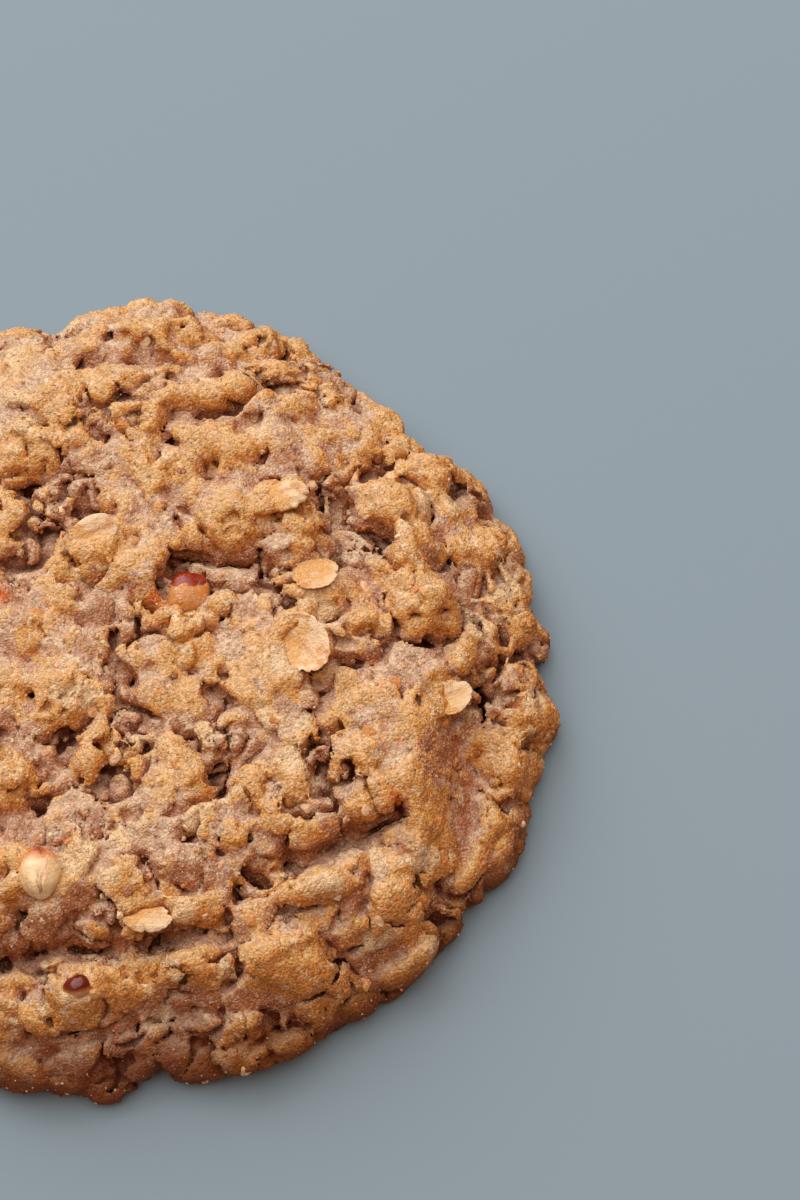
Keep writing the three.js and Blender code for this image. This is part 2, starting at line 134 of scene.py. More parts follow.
# %% Numbers by chance
WORD = 0xFFFFFFFF  # the largest number of 32 bits
STRIDE = 0x6D2B79F5


def multiply(a, b):
    """A product of which only the lowest 32 bits are kept."""
    return (a * b) & WORD


def chance(seed):
    """Equal seeds give equal rows of numbers from 0 to 1."""
    state = seed & WORD
    while True:
        state = (state + STRIDE) & WORD
        t = multiply(state ^ (state >> 15), 1 | state)
        t = ((t + multiply(t ^ (t >> 7), 61 | t)) & WORD) ^ t
        yield (t ^ (t >> 14)) / 2**32


# %% Noise on a grid of points
SCATTERERS = (374761393, 668265263, 1103515245, 974711)  # large odd numbers for x, y, z and the seed
SHUFFLER = 1274126177


def lattice(ix, iy, iz, seed):
    """Values from -1 to 1 for the lattice corners, given as integer arrays that broadcast."""
    h = sum(number * scatterer for number, scatterer in zip((ix, iy, iz, seed), SCATTERERS)) & WORD
    h = ((h ^ (h >> 13)) * SHUFFLER) & WORD
    return (h ^ (h >> 16)) / 2**32 * 2 - 1


def grid_noise(axes, wavelength, seed):
    """Smooth noise from -1 to 1 at every point of the grid that three axes span."""
    cells, shares = [], []
    for values in axes:
        scaled = values / wavelength
        cell = np.floor(scaled).astype(np.int64)
        t = scaled - cell
        cells.append(cell)
        shares.append((t * t * (3 - 2 * t)).astype(np.float32))
    corners = [np.arange(cell.min(), cell.max() + 2) for cell in cells]
    field = lattice(
        corners[0][:, None, None], corners[1][None, :, None], corners[2][None, None, :], seed
    ).astype(np.float32)
    for axis in (2, 1, 0):
        first = cells[axis] - corners[axis][0]
        shape = [1, 1, 1]
        shape[axis] = -1
        share = shares[axis].reshape(shape)
        field = np.take(field, first, axis) * (1 - share) + np.take(field, first + 1, axis) * share
    return field


# %% [markdown]
# ## The dough as a rule
#
# The dough is described by a distance: negative inside, positive outside, zero on the surface. It is worked
# out at every point of a fine grid of little cubes. A distance makes what dough does easy to say. Two lumps
# that run together are the smaller of their distances, blended. A crack is a wedge of air taken out of it.
#
# All of this is in millimetres, measured from the middle that the lobes of the outline turn about.

# %% The grid
CELL = 0.3
REACH = 53.5  # half the width of the grid
TOP = 20.2  # and its height over the base
axis_x = np.arange(-REACH, REACH + CELL, CELL)
axis_y = np.arange(-REACH, REACH + CELL, CELL)
axis_z = np.arange(-2.5 * CELL, TOP, CELL)
axes = (axis_x, axis_y, axis_z)
origin = np.array([axis_x[0], axis_y[0], axis_z[0]])
print("grid of", len(axis_x), "by", len(axis_y), "by", len(axis_z), "points")

# %% Every grid point moved a little, so that what is measured from it comes out uneven
WANDERS = [(7.5, 0.7, 11), (3.1, 0.35, 21)]  # wavelength, reach, seed
grid_shape = tuple(len(axis) for axis in axes)
moved = [np.array(np.broadcast_to(values, grid_shape), dtype=np.float32, order="C")
         for values in np.meshgrid(*axes, indexing="ij", sparse=True)]
STEADY = 0.4  # the share of this that small things take
steady = [values.copy() for values in moved]
for wavelength, reach, seed in WANDERS:
    for way in range(3):
        wander = np.float32(reach) * grid_noise(axes, wavelength, seed + way)
        moved[way] += wander
        steady[way] += np.float32(STEADY) * wander

# %% The spread base and the thicker deck on it
RADIUS = 50
BASE_HEIGHT = 12.4
BASE_SHOULDER = 22
DECK_HEIGHT = 14.6
DECK_RADIUS = 40
DECK_SHOULDER = 8
DECK_JOIN = 5
SLOPE_POWER = 2.2

# Where the outline departs from a circle: bearing and spread in degrees, change in millimetres.
OUTLINE_LOBES = [
    (46, 14, -2.2), (41, 4, -0.6), (61, 5, -0.8), (88, 12, 2.6), (103, 9, -1.0), (9, 7, -0.6),
    (-14, 4, -0.9), (-44, 20, 1.0), (-40, 4, -0.7), (-73, 5, 0.2), (-83, 6, -2.0), (-97, 7, 1.2),
    (-122, 8, -0.9), (-150, 16, 1.1), (150, 14, 1.2), (178, 10, -1.6),
]
DECK_LOBES = [
    (-60, 19, -6.4), (-90, 15, -2.4), (-22, 13, 3.4), (48, 20, -3.6), (96, 18, 3.2), (140, 16, -4.2),
    (176, 14, 3.6), (-150, 14, -3.8), (-118, 11, 2.4),
]


def lobed(radius, lobes, bearing):
    """The radius at a bearing in radians."""
    degrees = np.degrees(bearing)
    total = np.full_like(degrees, radius, dtype=float)
    for middle, spread, change in lobes:
        away = (degrees - middle + 540) % 360 - 180
        total = total + change * np.exp(-((away / spread) ** 2))
    return total


BEARINGS = np.linspace(-math.pi, math.pi, 2881)


def pillow(x, y, z, radius, lobes, shoulder, height):
    """Distance to a flat-topped pillow on the base plane, whose edge falls in a rounded shoulder."""
    outer = np.interp(np.arctan2(y, x), BEARINGS, lobed(radius, lobes, BEARINGS)).astype(np.float32)
    u = np.maximum(0, np.hypot(x, y) - (outer - shoulder)) / shoulder
    w = np.maximum(0.02, z / height)
    size = (u**SLOPE_POWER + w**SLOPE_POWER) ** (1 / SLOPE_POWER)
    du = (u / size) ** (SLOPE_POWER - 1) / shoulder
    dw = (w / size) ** (SLOPE_POWER - 1) / height
    return (size - 1) / np.hypot(du, dw)


def blend(a, b, softness):
    """The smaller of two distances, run together where they are nearly equal."""
    near = np.maximum(0, softness - np.abs(a - b)) / softness
    return np.minimum(a, b) - near * near * softness / 4


def core(x, y, z):
    """Distance to the plain form of the dough: the deck run together with the base."""
    base = pillow(x, y, z, RADIUS, OUTLINE_LOBES, BASE_SHOULDER, BASE_HEIGHT)
    deck = pillow(x, y, z, DECK_RADIUS, DECK_LOBES, DECK_SHOULDER, DECK_HEIGHT)
    return blend(base, deck, DECK_JOIN)


# The dough is a little fuller than the solids' plain core, except near the base, because the creases and pits
# take some of it away again.
FULLER = 0.6
FULLER_FROM = 3  # the height at which this starts
FULLER_RISE = 6  # and how much higher it is complete
dough = core(*moved).astype(np.float32)
dough -= np.float32(FULLER) * np.clip((moved[2] - FULLER_FROM) / FULLER_RISE, 0, 1)
print("core: deepest point", round(float(-dough.min()), 1), "mm inside")

# %% [markdown]
# ## Lumps, each in its place or by chance
#
# The lumps that give this cookie its look are listed. The rest are thrown at the dough from outside, the
# largest first, and one that lands too close to another is left out. Both are ellipsoids that lie in the
# surface and stand a little proud of it.

# %% Going from outside on to a surface
START = 6  # how far outside the dough a fall begins
STEP = 0.3
HALVINGS = 12  # how often the last step is halved to find the surface
FLAT = 36  # inside this radius things fall straight down, and beyond it the way in turns outwards
PROBE = 0.4  # how far to each side the rule is read for the direction of its surface


def launch(bearing, along):
    """Points outside the dough and the ways in. Along is 0 in the middle of the top and 1 at the base."""
    outer = lobed(RADIUS, OUTLINE_LOBES, bearing)
    bend = math.pi / 4 * (outer - FLAT + BASE_HEIGHT)
    arc = along * (FLAT + bend)
    turn = np.clip((arc - FLAT) / bend, 0, 1) * math.pi / 2
    r = np.minimum(arc, FLAT) + (outer - FLAT) * np.sin(turn)
    out = np.stack([np.sin(turn) * np.cos(bearing), np.sin(turn) * np.sin(bearing), np.cos(turn)], 1)
    surface = np.stack([r * np.cos(bearing), r * np.sin(bearing), BASE_HEIGHT * np.cos(turn)], 1)
    return surface + out * START, -out, r


def fall(rule, starts, ways):
    """Where each way first meets the rule's surface."""
    p = starts.copy()
    for _ in range(int(3 * START / STEP)):
        outside = rule(*p.T) > 0
        p[outside] += ways[outside] * STEP
    low, high = np.full(len(p), -STEP), np.zeros(len(p))
    for _ in range(HALVINGS):
        middle = (low + high) / 2
        outside = rule(*(p + ways * middle[:, None]).T) > 0
        low, high = np.where(outside, middle, low), np.where(outside, high, middle)
    return p + ways * high[:, None]


def normals_of(rule, p):
    """The outward directions of the rule's surface at points."""
    pushes = np.eye(3) * PROBE
    n = np.stack([rule(*(p + push).T) - rule(*(p - push).T) for push in pushes], 1)
    return n / np.linalg.norm(n, axis=1, keepdims=True)


def straight_down(rule, plan):
    """The points of the surface over points of the base plane."""
    plan = np.atleast_2d(plan).astype(float)
    starts = np.column_stack([plan, np.full(len(plan), DECK_HEIGHT + START)])
    return fall(rule, starts, np.tile([0.0, 0.0, -1.0], (len(plan), 1)))


# %% Lumps
def lying_axes(normal, turn):
    """The length, width and height of something that lies square to a normal, turned about it."""
    along = np.array([math.cos(turn), math.sin(turn), 0.0])
    along -= normal * along.dot(normal)
    along /= np.linalg.norm(along)
    return np.array([along, np.cross(normal, along), normal])


def block_round(middle, reach):
    """The part of the grid within reach of a point."""
    cuts = []
    for way in range(3):
        low = int((middle[way] - reach - origin[way]) / CELL)
        high = int((middle[way] + reach - origin[way]) / CELL) + 2
        cuts.append(slice(max(0, low), max(0, high)))
    return tuple(cuts)


def ellipsoid(block, middle, axes3, half, seen=moved):
    """Distance to an ellipsoid at the moved points of a block of the grid."""
    from_middle = [seen[way][block] - np.float32(middle[way]) for way in range(3)]
    size, slope = 0, 0
    for axis, length in zip(axes3, half):
        t = sum(from_middle[way] * np.float32(axis[way]) for way in range(3)) / np.float32(length)
        size = size + t * t
        slope = slope + (t / length) ** 2
    size = np.sqrt(size)
    return size * (size - 1) / np.maximum(1e-6, np.sqrt(slope))


def add_lump(middle, axes3, half, softness, seen=moved, margin=1.6):
    """Joins an ellipsoid to the dough, and gives back where it is and its distance there."""
    block = block_round(middle, max(half) + margin)
    distance = ellipsoid(block, middle, axes3, half, seen)
    dough[block] = blend(dough[block], distance, softness)
    return block, distance


# For each grid point: the distance to the nearest lump, and how golden that lump is.
CORE_GOLD = 0.22
FAR = 9.0  # stands for nothing near
nearest_lump = dough.copy()
gold = np.full(dough.shape, CORE_GOLD, dtype=np.float32)


def note(block, distance, golden):
    """Remembers how golden a lump is, where no other lump is nearer."""
    closer = distance < nearest_lump[block]
    nearest_lump[block] = np.minimum(nearest_lump[block], distance)
    gold[block] = np.where(closer, golden, gold[block])


# The listed lumps: plan position, half-sizes, turn in degrees, and how far they stand proud.
MAIN_LUMPS = [
    ((31, 18.2), (5.4, 5.0, 3.6), 20, 2.0), ((31.8, 7.8), (5.0, 3.0, 2.6), 80, 1.8),
    ((35.2, 3.2), (5.6, 4.2, 3.0), 25, 1.4), ((18.6, 17.2), (4.4, 3.4, 2.4), 20, 1.3),
    ((-5, 10.5), (6.4, 4.2, 3.2), 25, 1.5), ((22.8, -29.2), (5.6, 2.7, 2.4), 14, 2.9),
    ((32.4, -29.6), (4.6, 3.6, 2.8), 20, 2.0), ((36.6, -8.2), (5.2, 3.6, 2.6), 20, 1.4),
    ((35.6, -24), (3.6, 5.4, 2.8), 10, 1.8), ((10, 24.6), (6.2, 4.2, 2.8), 5, 1.1),
    ((8.5, 32.2), (6.4, 2.6, 2.4), 14, 1.2), ((19.6, -2.2), (6.0, 4.8, 3.0), -25, 1.2),
    ((-1, -16), (4.4, 4.4, 3.0), 0, 1.4), ((-12, -18.5), (5.6, 4.2, 3.0), -20, 1.4),
    ((18.6, -38.4), (6.8, 4.2, 3.2), 10, 1.8), ((9.6, -39), (4.6, 3.4, 2.8), -10, 1.6),
    ((16.6, -46.4), (6.4, 2.8, 2.8), 12, 2.0), ((-4.5, -43), (3.8, 4.2, 3.0), 0, 2.0),
    ((42.6, -13.6), (3.6, 3.2, 2.6), 0, 1.8), ((36.4, 23.6), (4.6, 3.4, 3.0), 55, 1.8),
    ((-14, 23.5), (5.2, 4.0, 2.8), 0, 1.4), ((7.6, -1.6), (3.4, 3.0, 2.4), 30, 1.3),
    ((2.6, 42.4), (7.6, 3.6, 3.4), 4, 1.6),
]
MAIN_RISE = 1.0
MAIN_GOLD = 1.1
JOIN = 0.15
foot_line = np.full(dough.shape, FAR, dtype=np.float32)  # distance to the crease at the foot of a large lump
OVERHANGING = (0.57, -0.82)  # the side on which the lumps came away from the dough


def crease_foot(block, distance, middle):
    """Notes where the foot of a lump is, on the side that came away."""
    x = moved[0][block] - np.float32(middle[0])
    y = moved[1][block] - np.float32(middle[1])
    side = (x * OVERHANGING[0] + y * OVERHANGING[1]) / np.maximum(0.5, np.hypot(x, y))
    away = np.abs(distance - 0.2) + 2 * np.maximum(0, 0.15 - side)
    foot_line[block] = np.minimum(foot_line[block], away)


lump_middles, lump_lengths = [], []
over = straight_down(core, [at for at, _, _, _ in MAIN_LUMPS])
for p, normal, (_, half, turn, proud) in zip(over, normals_of(core, over), MAIN_LUMPS):
    sunk = p + normal * (proud + MAIN_RISE - half[2])
    block, distance = add_lump(sunk, lying_axes(normal, math.radians(turn)), half, JOIN)
    note(block, distance, MAIN_GOLD)
    crease_foot(block, distance, sunk)
    lump_middles.append(sunk)
    lump_lengths.append(half[0])

# %% Lumps by chance
LUMP_SEED = 27
LUMP_TRIES = 2600
LUMP_LARGEST = 6.4
LUMP_SMALLEST = 2.6
LUMP_SPACING = 0.6  # between two middles, as a share of their lengths together
LOWEST = 1.5  # no lump lands below this height
FOOT_FROM = 3.2  # lumps longer than this have a crease at their foot

numbers = chance(LUMP_SEED)
draws = np.array([[next(numbers) for _ in range(7)] for _ in range(LUMP_TRIES)])
starts, ways, radii = launch(draws[:, 0] * 2 * math.pi, draws[:, 1])
landed = fall(core, starts, ways)
landed_normals = normals_of(core, landed)
for i, (_, _, size, slim, spin, rise, luck) in enumerate(draws):
    length = LUMP_SMALLEST + (LUMP_LARGEST - LUMP_SMALLEST) * (1 - i / LUMP_TRIES) * size
    if luck > radii[i] / RADIUS or landed[i][2] < LOWEST:
        continue
    apart = np.linalg.norm(np.array(lump_middles) - landed[i], axis=1)
    if np.any(apart < LUMP_SPACING * (length + np.array(lump_lengths))):
        continue
    half = (length, length * (0.6 + 0.35 * slim), length * (0.42 + 0.2 * slim))
    sunk = landed[i] + landed_normals[i] * (0.35 + length * (0.13 + 0.26 * rise) - half[2])
    block, distance = add_lump(sunk, lying_axes(landed_normals[i], spin * 2 * math.pi), half, JOIN)
    note(block, distance, 0.25 + 0.6 * luck)
    if length > FOOT_FROM:
        crease_foot(block, distance, sunk)
    lump_middles.append(sunk)
    lump_lengths.append(length)
print(len(lump_middles), "lumps")

# %% [markdown]
# ## Valleys
#
# Where the deck sank away from its edge there are broad, soft valleys. A valley is a wedge of air that is
# widest at the top and closes at its depth, and its sides turn over gently.

# %% Valleys
VALLEY_SOFTNESS = 1.6
VALLEY_OVER = 0.8  # how far over the core its mouth is
VALLEY_MARGIN = 6  # how far beside its route the grid is looked at
# Route, half the width at the top, depth.
VALLEYS = [
    ([(22, 31), (24.6, 26.4), (26, 20), (26.2, 12.6), (28.6, 5)], 1.8, 2.2),
    ([(41.4, -12), (41, -20), (38.8, -28), (34.4, -35), (28, -39)], 1.2, 1.5),
    ([(-18, -46), (-8, -47.2), (2, -45), (10, -43.4), (21, -42.6)], 1.5, 2.4),
    ([(-10, 38.4), (0, 37.6), (8, 36.8), (15, 37.2)], 1.6, 1.6),
]


def nearest_of_route(x, y, curve):
    """How far plan points are from a line through points, and the share of it before the nearest place."""
    nearest, share = np.full(x.shape, np.inf, dtype=np.float32), np.zeros(x.shape, dtype=np.float32)
    for i, ((ax, ay), (bx, by)) in enumerate(zip(curve, curve[1:])):
        dx, dy = bx - ax, by - ay
        t = np.clip(((x - ax) * dx + (y - ay) * dy) / (dx * dx + dy * dy), 0, 1)
        away = np.hypot(x - ax - t * dx, y - ay - t * dy)
        share = np.where(away < nearest, (i + t) / (len(curve) - 1), share)
        nearest = np.minimum(nearest, away)
    return nearest, share


def block_of_route(route, margin):
    """The part of the grid over a route's bounding box, at all heights."""
    corner_low = np.min(route, axis=0) - margin
    corner_high = np.max(route, axis=0) + margin
    cuts = [slice(max(0, int((low - origin[way]) / CELL)), int((high - origin[way]) / CELL) + 2)
            for way, (low, high) in enumerate(zip(corner_low, corner_high))]
    return cuts[0], cuts[1], slice(None)


for route, half, deep in VALLEYS:
    block = block_of_route(route, VALLEY_MARGIN)
    top = straight_down(core, route[len(route) // 2])[0, 2] + VALLEY_OVER
    away, _ = nearest_of_route(moved[0][block], moved[1][block], route)
    air = away - half * (1 - (top - moved[2][block]) / deep)
    dough[block] = -blend(-dough[block], air, VALLEY_SOFTNESS)
print(len(VALLEYS), "valleys")

# %% [markdown]
# ## What the oats do to the dough
#
# Smaller lumps fill what the large ones left. Most of the oats never show: they lie just under the skin of
# the dough at every angle, and their edges lift it into plates. The raised side of a plate overhangs the
# dough beside it, and that is where the thin dark lines come from. So each plate first takes a shallow groove
# out of the dough round its raised side, and is then laid over it. Where one stands very proud, its distance
# is kept, as that part will be coloured as oat. Last come knobs of dough, down to a millimetre across.

# %% Reading the grid at any point
CUBE_CORNERS = [(i, j, k) for i in (0, 1) for j in (0, 1) for k in (0, 1)]


def read(field, points):
    """The field's values at points, run straight between the grid points."""
    scaled = (np.asarray(points, dtype=float) - origin) / CELL
    cell = np.clip(np.floor(scaled).astype(int), 0, np.array(field.shape) - 2)
    t = np.clip(scaled - cell, 0, 1)
    total = 0
    for corner in CUBE_CORNERS:
        sides = [t[:, way] if corner[way] else 1 - t[:, way] for way in range(3)]
        total = total + sides[0] * sides[1] * sides[2] * field[tuple((cell + corner).T)]
    return total


def on_dough(x, y, z):
    """The present dough as a rule that can be read anywhere."""
    return read(dough, np.stack([x, y, z], 1))


def blurred(field, reach):
    """The field averaged over boxes, twice, so that it fades out softly."""
    n = max(1, round(reach / CELL))
    for axis in range(3):
        for _ in range(2):
            room = [(n + 1, n) if way == axis else (0, 0) for way in range(3)]
            total = np.cumsum(np.pad(field, room, mode="edge"), axis, dtype=np.float32)
            late = [slice(2 * n + 1, None) if way == axis else slice(None) for way in range(3)]
            early = [slice(None, -2 * n - 1) if way == axis else slice(None) for way in range(3)]
            field = (total[tuple(late)] - total[tuple(early)]) / (2 * n + 1)
    return field


def scatter(tries, seed):
    """Points of the present surface at random, evenly thick over it, with the normals there."""
    numbers = chance(seed)
    draws = np.array([[next(numbers) for _ in range(3)] for _ in range(tries)])
    starts, ways, radii = launch(draws[:, 0] * 2 * math.pi, draws[:, 1])
    kept = draws[:, 2] < radii / RADIUS
    points = fall(on_dough, starts[kept], ways[kept])
    return points, normals_of(on_dough, points)


def thinned(points, spacing):
    """The indices of points that are left when each keeps its distance from those before it."""
    taken, rooms = [], {}
    for i, p in enumerate(points):
        room = tuple(np.floor(p / spacing).astype(int))
        near = (j for a in (-1, 0, 1) for b in (-1, 0, 1) for c in (-1, 0, 1)
                for j in rooms.get((room[0] + a, room[1] + b, room[2] + c), ()))
        if all(np.sum((points[j] - p) ** 2) >= spacing**2 for j in near):
            taken.append(i)
            rooms.setdefault(room, []).append(i)
    return taken


def carve(block, air, softness=0.3):
    """Takes air out of a part of the dough."""
    dough[block] = -blend(-dough[block], air, softness)


# %% A copy of the dough so far, and how much things may stand out of it
plain_dough = dough.copy()
FOOT_CALM = 0.5
CALM_BELOW = 1  # in mm over the base
CALM_RISE = 6


def calm(p):
    """1 over most of the dough, and less near the base, so that nothing spikes out of the rim."""
    return FOOT_CALM + (1 - FOOT_CALM) * min(1.0, max(0.0, (p[2] - CALM_BELOW) / CALM_RISE))


# %% Smaller lumps between the large ones
SMALL_LENGTH, SMALL_MORE = 1.6, 1.8  # half the least length, and how much more the longest has
SMALL_RISE = 0.3
SMALL_JOIN = 0.06
points, normals = scatter(tries=5200, seed=45)
taken = thinned(points, spacing=2.8)
numbers = chance(seed=46)
for i in taken:
    long, slim, flat, spin, rise, luck = [next(numbers) for _ in range(6)]
    length = SMALL_LENGTH + SMALL_MORE * long**1.3
    half = (length, length * (0.65 + 0.35 * slim), length * (0.55 + 0.25 * flat))
    middle = points[i] + normals[i] * (SMALL_RISE * rise * calm(points[i]) - half[2])
    block, distance = add_lump(middle, lying_axes(normals[i], spin * 2 * math.pi), half, SMALL_JOIN, steady)
    note(block, distance, 0.15 + 0.8 * luck)
print(len(taken), "smaller lumps")

# %% Plates
GROOVE = 0.3  # half its height
GROOVE_INNER = 0.62  # it starts under the plate, at this share of the way out from its middle
GROOVE_OUTER = 0.4  # and ends this far beyond the rim
PLATE_JOIN = 0.1
BARE_OVER = 0.75  # plates that rise more than this are bare oat
numbers = chance(seed=41)
oat_air = np.full(dough.shape, 4.0, dtype=np.float32)  # distance to the nearest bare oat
points, normals = scatter(tries=2400, seed=42)
taken = thinned(points, spacing=4.6)
ragged = 0.22 * grid_noise(axes, 2.3, 35) + 0.13 * grid_noise(axes, 1.0, 36)
for i in taken:
    tip, lean, spin, long, wide, thick, rise = [next(numbers) for _ in range(7)]
    half = (1.8 + 2.2 * long**1.4, 1.5 + 1.2 * wide, 0.45 + 0.25 * thick)
    steep = math.radians(3 + 15 * lean**1.3)
    push = lying_axes(normals[i], tip * 2 * math.pi)[0]
    facing = normals[i] * math.cos(steep) - push * math.sin(steep)
    axis_u, axis_v, _ = lying_axes(facing, spin * 2 * math.pi)
    out = (-0.35 + 0.5 * rise) * calm(points[i])
    middle = points[i] + normals[i] * out
    block = block_round(middle, half[0] + 1.6)
    offset = [steady[way][block] - np.float32(middle[way]) for way in range(3)]
    u, v, w, raised = [sum(offset[way] * np.float32(axis[way]) for way in range(3))
                       for axis in (axis_u, axis_v, facing, push)]
    r = np.sqrt((u / half[0]) ** 2 + (v / half[1]) ** 2) + ragged[block]
    rim = (r - 1) * half[1]
    beside = np.maximum(rim - GROOVE_OUTER, (GROOVE_INNER - r) * half[1])
    below = np.maximum(np.abs(w + half[2] + GROOVE * 0.6) - GROOVE, beside)
    dough[block] = np.maximum(dough[block], np.minimum(-below, raised + 0.2))
    plate = -blend(-rim, half[2] - np.abs(w), 0.5)
    dough[block] = blend(dough[block], plate, PLATE_JOIN)
    note(block, plate, 0.3 + 0.7 * rise)
    if rise > BARE_OVER:
        oat_air[block] = np.minimum(oat_air[block], plate)
print(len(taken), "plates")

# %% Knobs of dough
KNOB_LENGTH, KNOB_MORE = 0.6, 1.0  # half the least length, and how much more the longest has
KNOB_JOIN = 0.05
points, normals = scatter(tries=11000, seed=51)
taken = thinned(points, spacing=2.2)
numbers = chance(seed=52)
for i in taken:
    long, slim, flat, spin, rise = [next(numbers) for _ in range(5)]
    length = KNOB_LENGTH + KNOB_MORE * long**1.8
    half = (length, length * (0.65 + 0.35 * slim), length * (0.6 + 0.4 * flat))
    middle = points[i] + normals[i] * (half[2] * (-0.95 + 0.3 * rise) * calm(points[i]))
    add_lump(middle, lying_axes(normals[i], spin * 2 * math.pi), half, KNOB_JOIN, steady)
print(len(taken), "knobs")

# %% [markdown]
# ## Cracks, holes and pockets
#
# The deep cracks follow the same routes as in the solids: each is a wedge of air along a smooth curve, which
# leans as it goes down, so that the dough on one side overhangs it. The holes are where an oat tore the dough
# open. What stands up too far is then settled back to a little over the plain form, as soft dough settles.
# After that every point of the grid looks up its distance a little to one side, by chance, which makes all
# the edges so far ragged at once, and the whole surface is broken into clumps and crumbs with gaps between
# them. The pockets make room for the oats and nuts that are pieces of their own. They come last, measured
# from the solids, so that those still fit.

# %% Cracks
# Route, half the width at the mouth, depth, how far the foot lies to the left of the mouth, and how often it
# is open.
CRACKS = [
    ([(14.5, -30.2), (20, -28.2), (24.4, -26.4), (28.8, -24.4), (34, -21.2)], 1.15, 6.0, 2.4, 1.05),
    ([(-22, -41.4), (-13, -39.6), (-6, -38), (2, -37.8), (8, -36), (12.6, -34.6), (15, -29.8)],
     1.3, 6.0, 2.2, 0.95),
    ([(28.6, 5), (31, 0.4), (35, -0.7), (39.2, -1.8), (41.2, -6), (41.4, -11.4)], 1.0, 3.8, 0.6, 0.7),
    ([(41.2, -10.6), (41.7, -15.5), (40.8, -20.5), (38.6, -25.4)], 0.9, 3.2, 1.0, 0.75),
    ([(0, 16.4), (5.2, 14.8), (7.4, 9.6), (13.4, 9), (19.4, 8), (23, 4)], 0.9, 2.8, 0.4, 0.62),
    ([(-22, 20.6), (-15, 18.8), (-10.8, 21), (-10.4, 27.4)], 0.9, 2.6, 0.4, 0.62),
    ([(28.2, -25.6), (28.4, -28.6), (27.4, -33.4)], 0.7, 2.6, 0, 0.62),
    ([(5, -9.6), (4.6, -14), (5.2, -18), (4.4, -22.6)], 0.6, 2.0, 0.2, 0.62),
]
PER_LEG = 6  # points of the curve for each leg of the route


def curve_through(route):
    """Points along a smooth curve through a route."""
    p = np.array([np.subtract(route[0], np.subtract(route[1], route[0])), *route,
                  np.add(route[-1], np.subtract(route[-1], route[-2]))])
    t = np.linspace(0, len(route) - 1, PER_LEG * (len(route) - 1) + 1)
    leg = np.minimum(t.astype(int), len(route) - 2)
    s = (t - leg)[:, None]
    a, b, c, d = p[leg], p[leg + 1], p[leg + 2], p[leg + 3]
    return 0.5 * (2 * b + (c - a) * s + (2 * a - 5 * b + 4 * c - d) * s**2 + (3 * b - a - 3 * c + d) * s**3)


WALL_TURN = 0.45  # how much of the grid's raggedness a crack's walls take
MOUTH_OVER = 1.4  # how far over the core a crack's mouth is
COARSE = 8  # cells of the grid for each step of the map of heights
mouth_plan = np.stack(np.meshgrid(axis_x[::COARSE], axis_y[::COARSE], indexing="ij"), -1)
mouth_height = straight_down(core, mouth_plan.reshape(-1, 2))[:, 2].reshape(mouth_plan.shape[:2]) + MOUTH_OVER


def mouths_over(x, y):
    """The height of the plain deck over plan points, from a coarse map of it."""
    u = np.clip((x - axis_x[0]) / (COARSE * CELL), 0, mouth_height.shape[0] - 1.001)
    v = np.clip((y - axis_y[0]) / (COARSE * CELL), 0, mouth_height.shape[1] - 1.001)
    i, j = u.astype(int), v.astype(int)
    s, t = u - i, v - j
    return ((1 - s) * (1 - t) * mouth_height[i, j] + s * (1 - t) * mouth_height[i + 1, j]
            + (1 - s) * t * mouth_height[i, j + 1] + s * t * mouth_height[i + 1, j + 1])


width_drift = grid_noise(axes, 2.6, 85)
broad_drift = grid_noise(axes, 9.0, 86)
CRACK_MARGIN = 4
SHUT, WIDEST = -0.3, 1.25  # limits of a crack's width, as shares of its usual one


def cut_crack(route, half, deep, lean, often):
    """Takes a leaning wedge of air out of the dough, wide in some places and closed in others."""
    curve = curve_through(route)
    way = (curve[-1] - curve[0]) / np.linalg.norm(curve[-1] - curve[0])
    block = block_of_route(route, CRACK_MARGIN)
    rest_x, rest_y, rest_z = np.meshgrid(axis_x[block[0]], axis_y[block[1]], axis_z, indexing="ij")
    x = rest_x + WALL_TURN * (moved[0][block] - rest_x)
    y = rest_y + WALL_TURN * (moved[1][block] - rest_y)
    down = (mouths_over(rest_x, rest_y) - rest_z) / deep
    slip = lean * np.clip(down, 0, 1)
    away, share = nearest_of_route(x + way[1] * slip, y - way[0] * slip, curve)
    opening = np.maximum(0.04, np.sin(math.pi * share)) ** 0.5
    share_open = often + 0.55 * width_drift[block] + 1.1 * broad_drift[block]
    width = half * opening * np.clip(share_open, SHUT, WIDEST)
    carve(block, away - width * (1 - down / opening))


for crack in CRACKS:
    cut_crack(*crack)
print(len(CRACKS), "cracks")

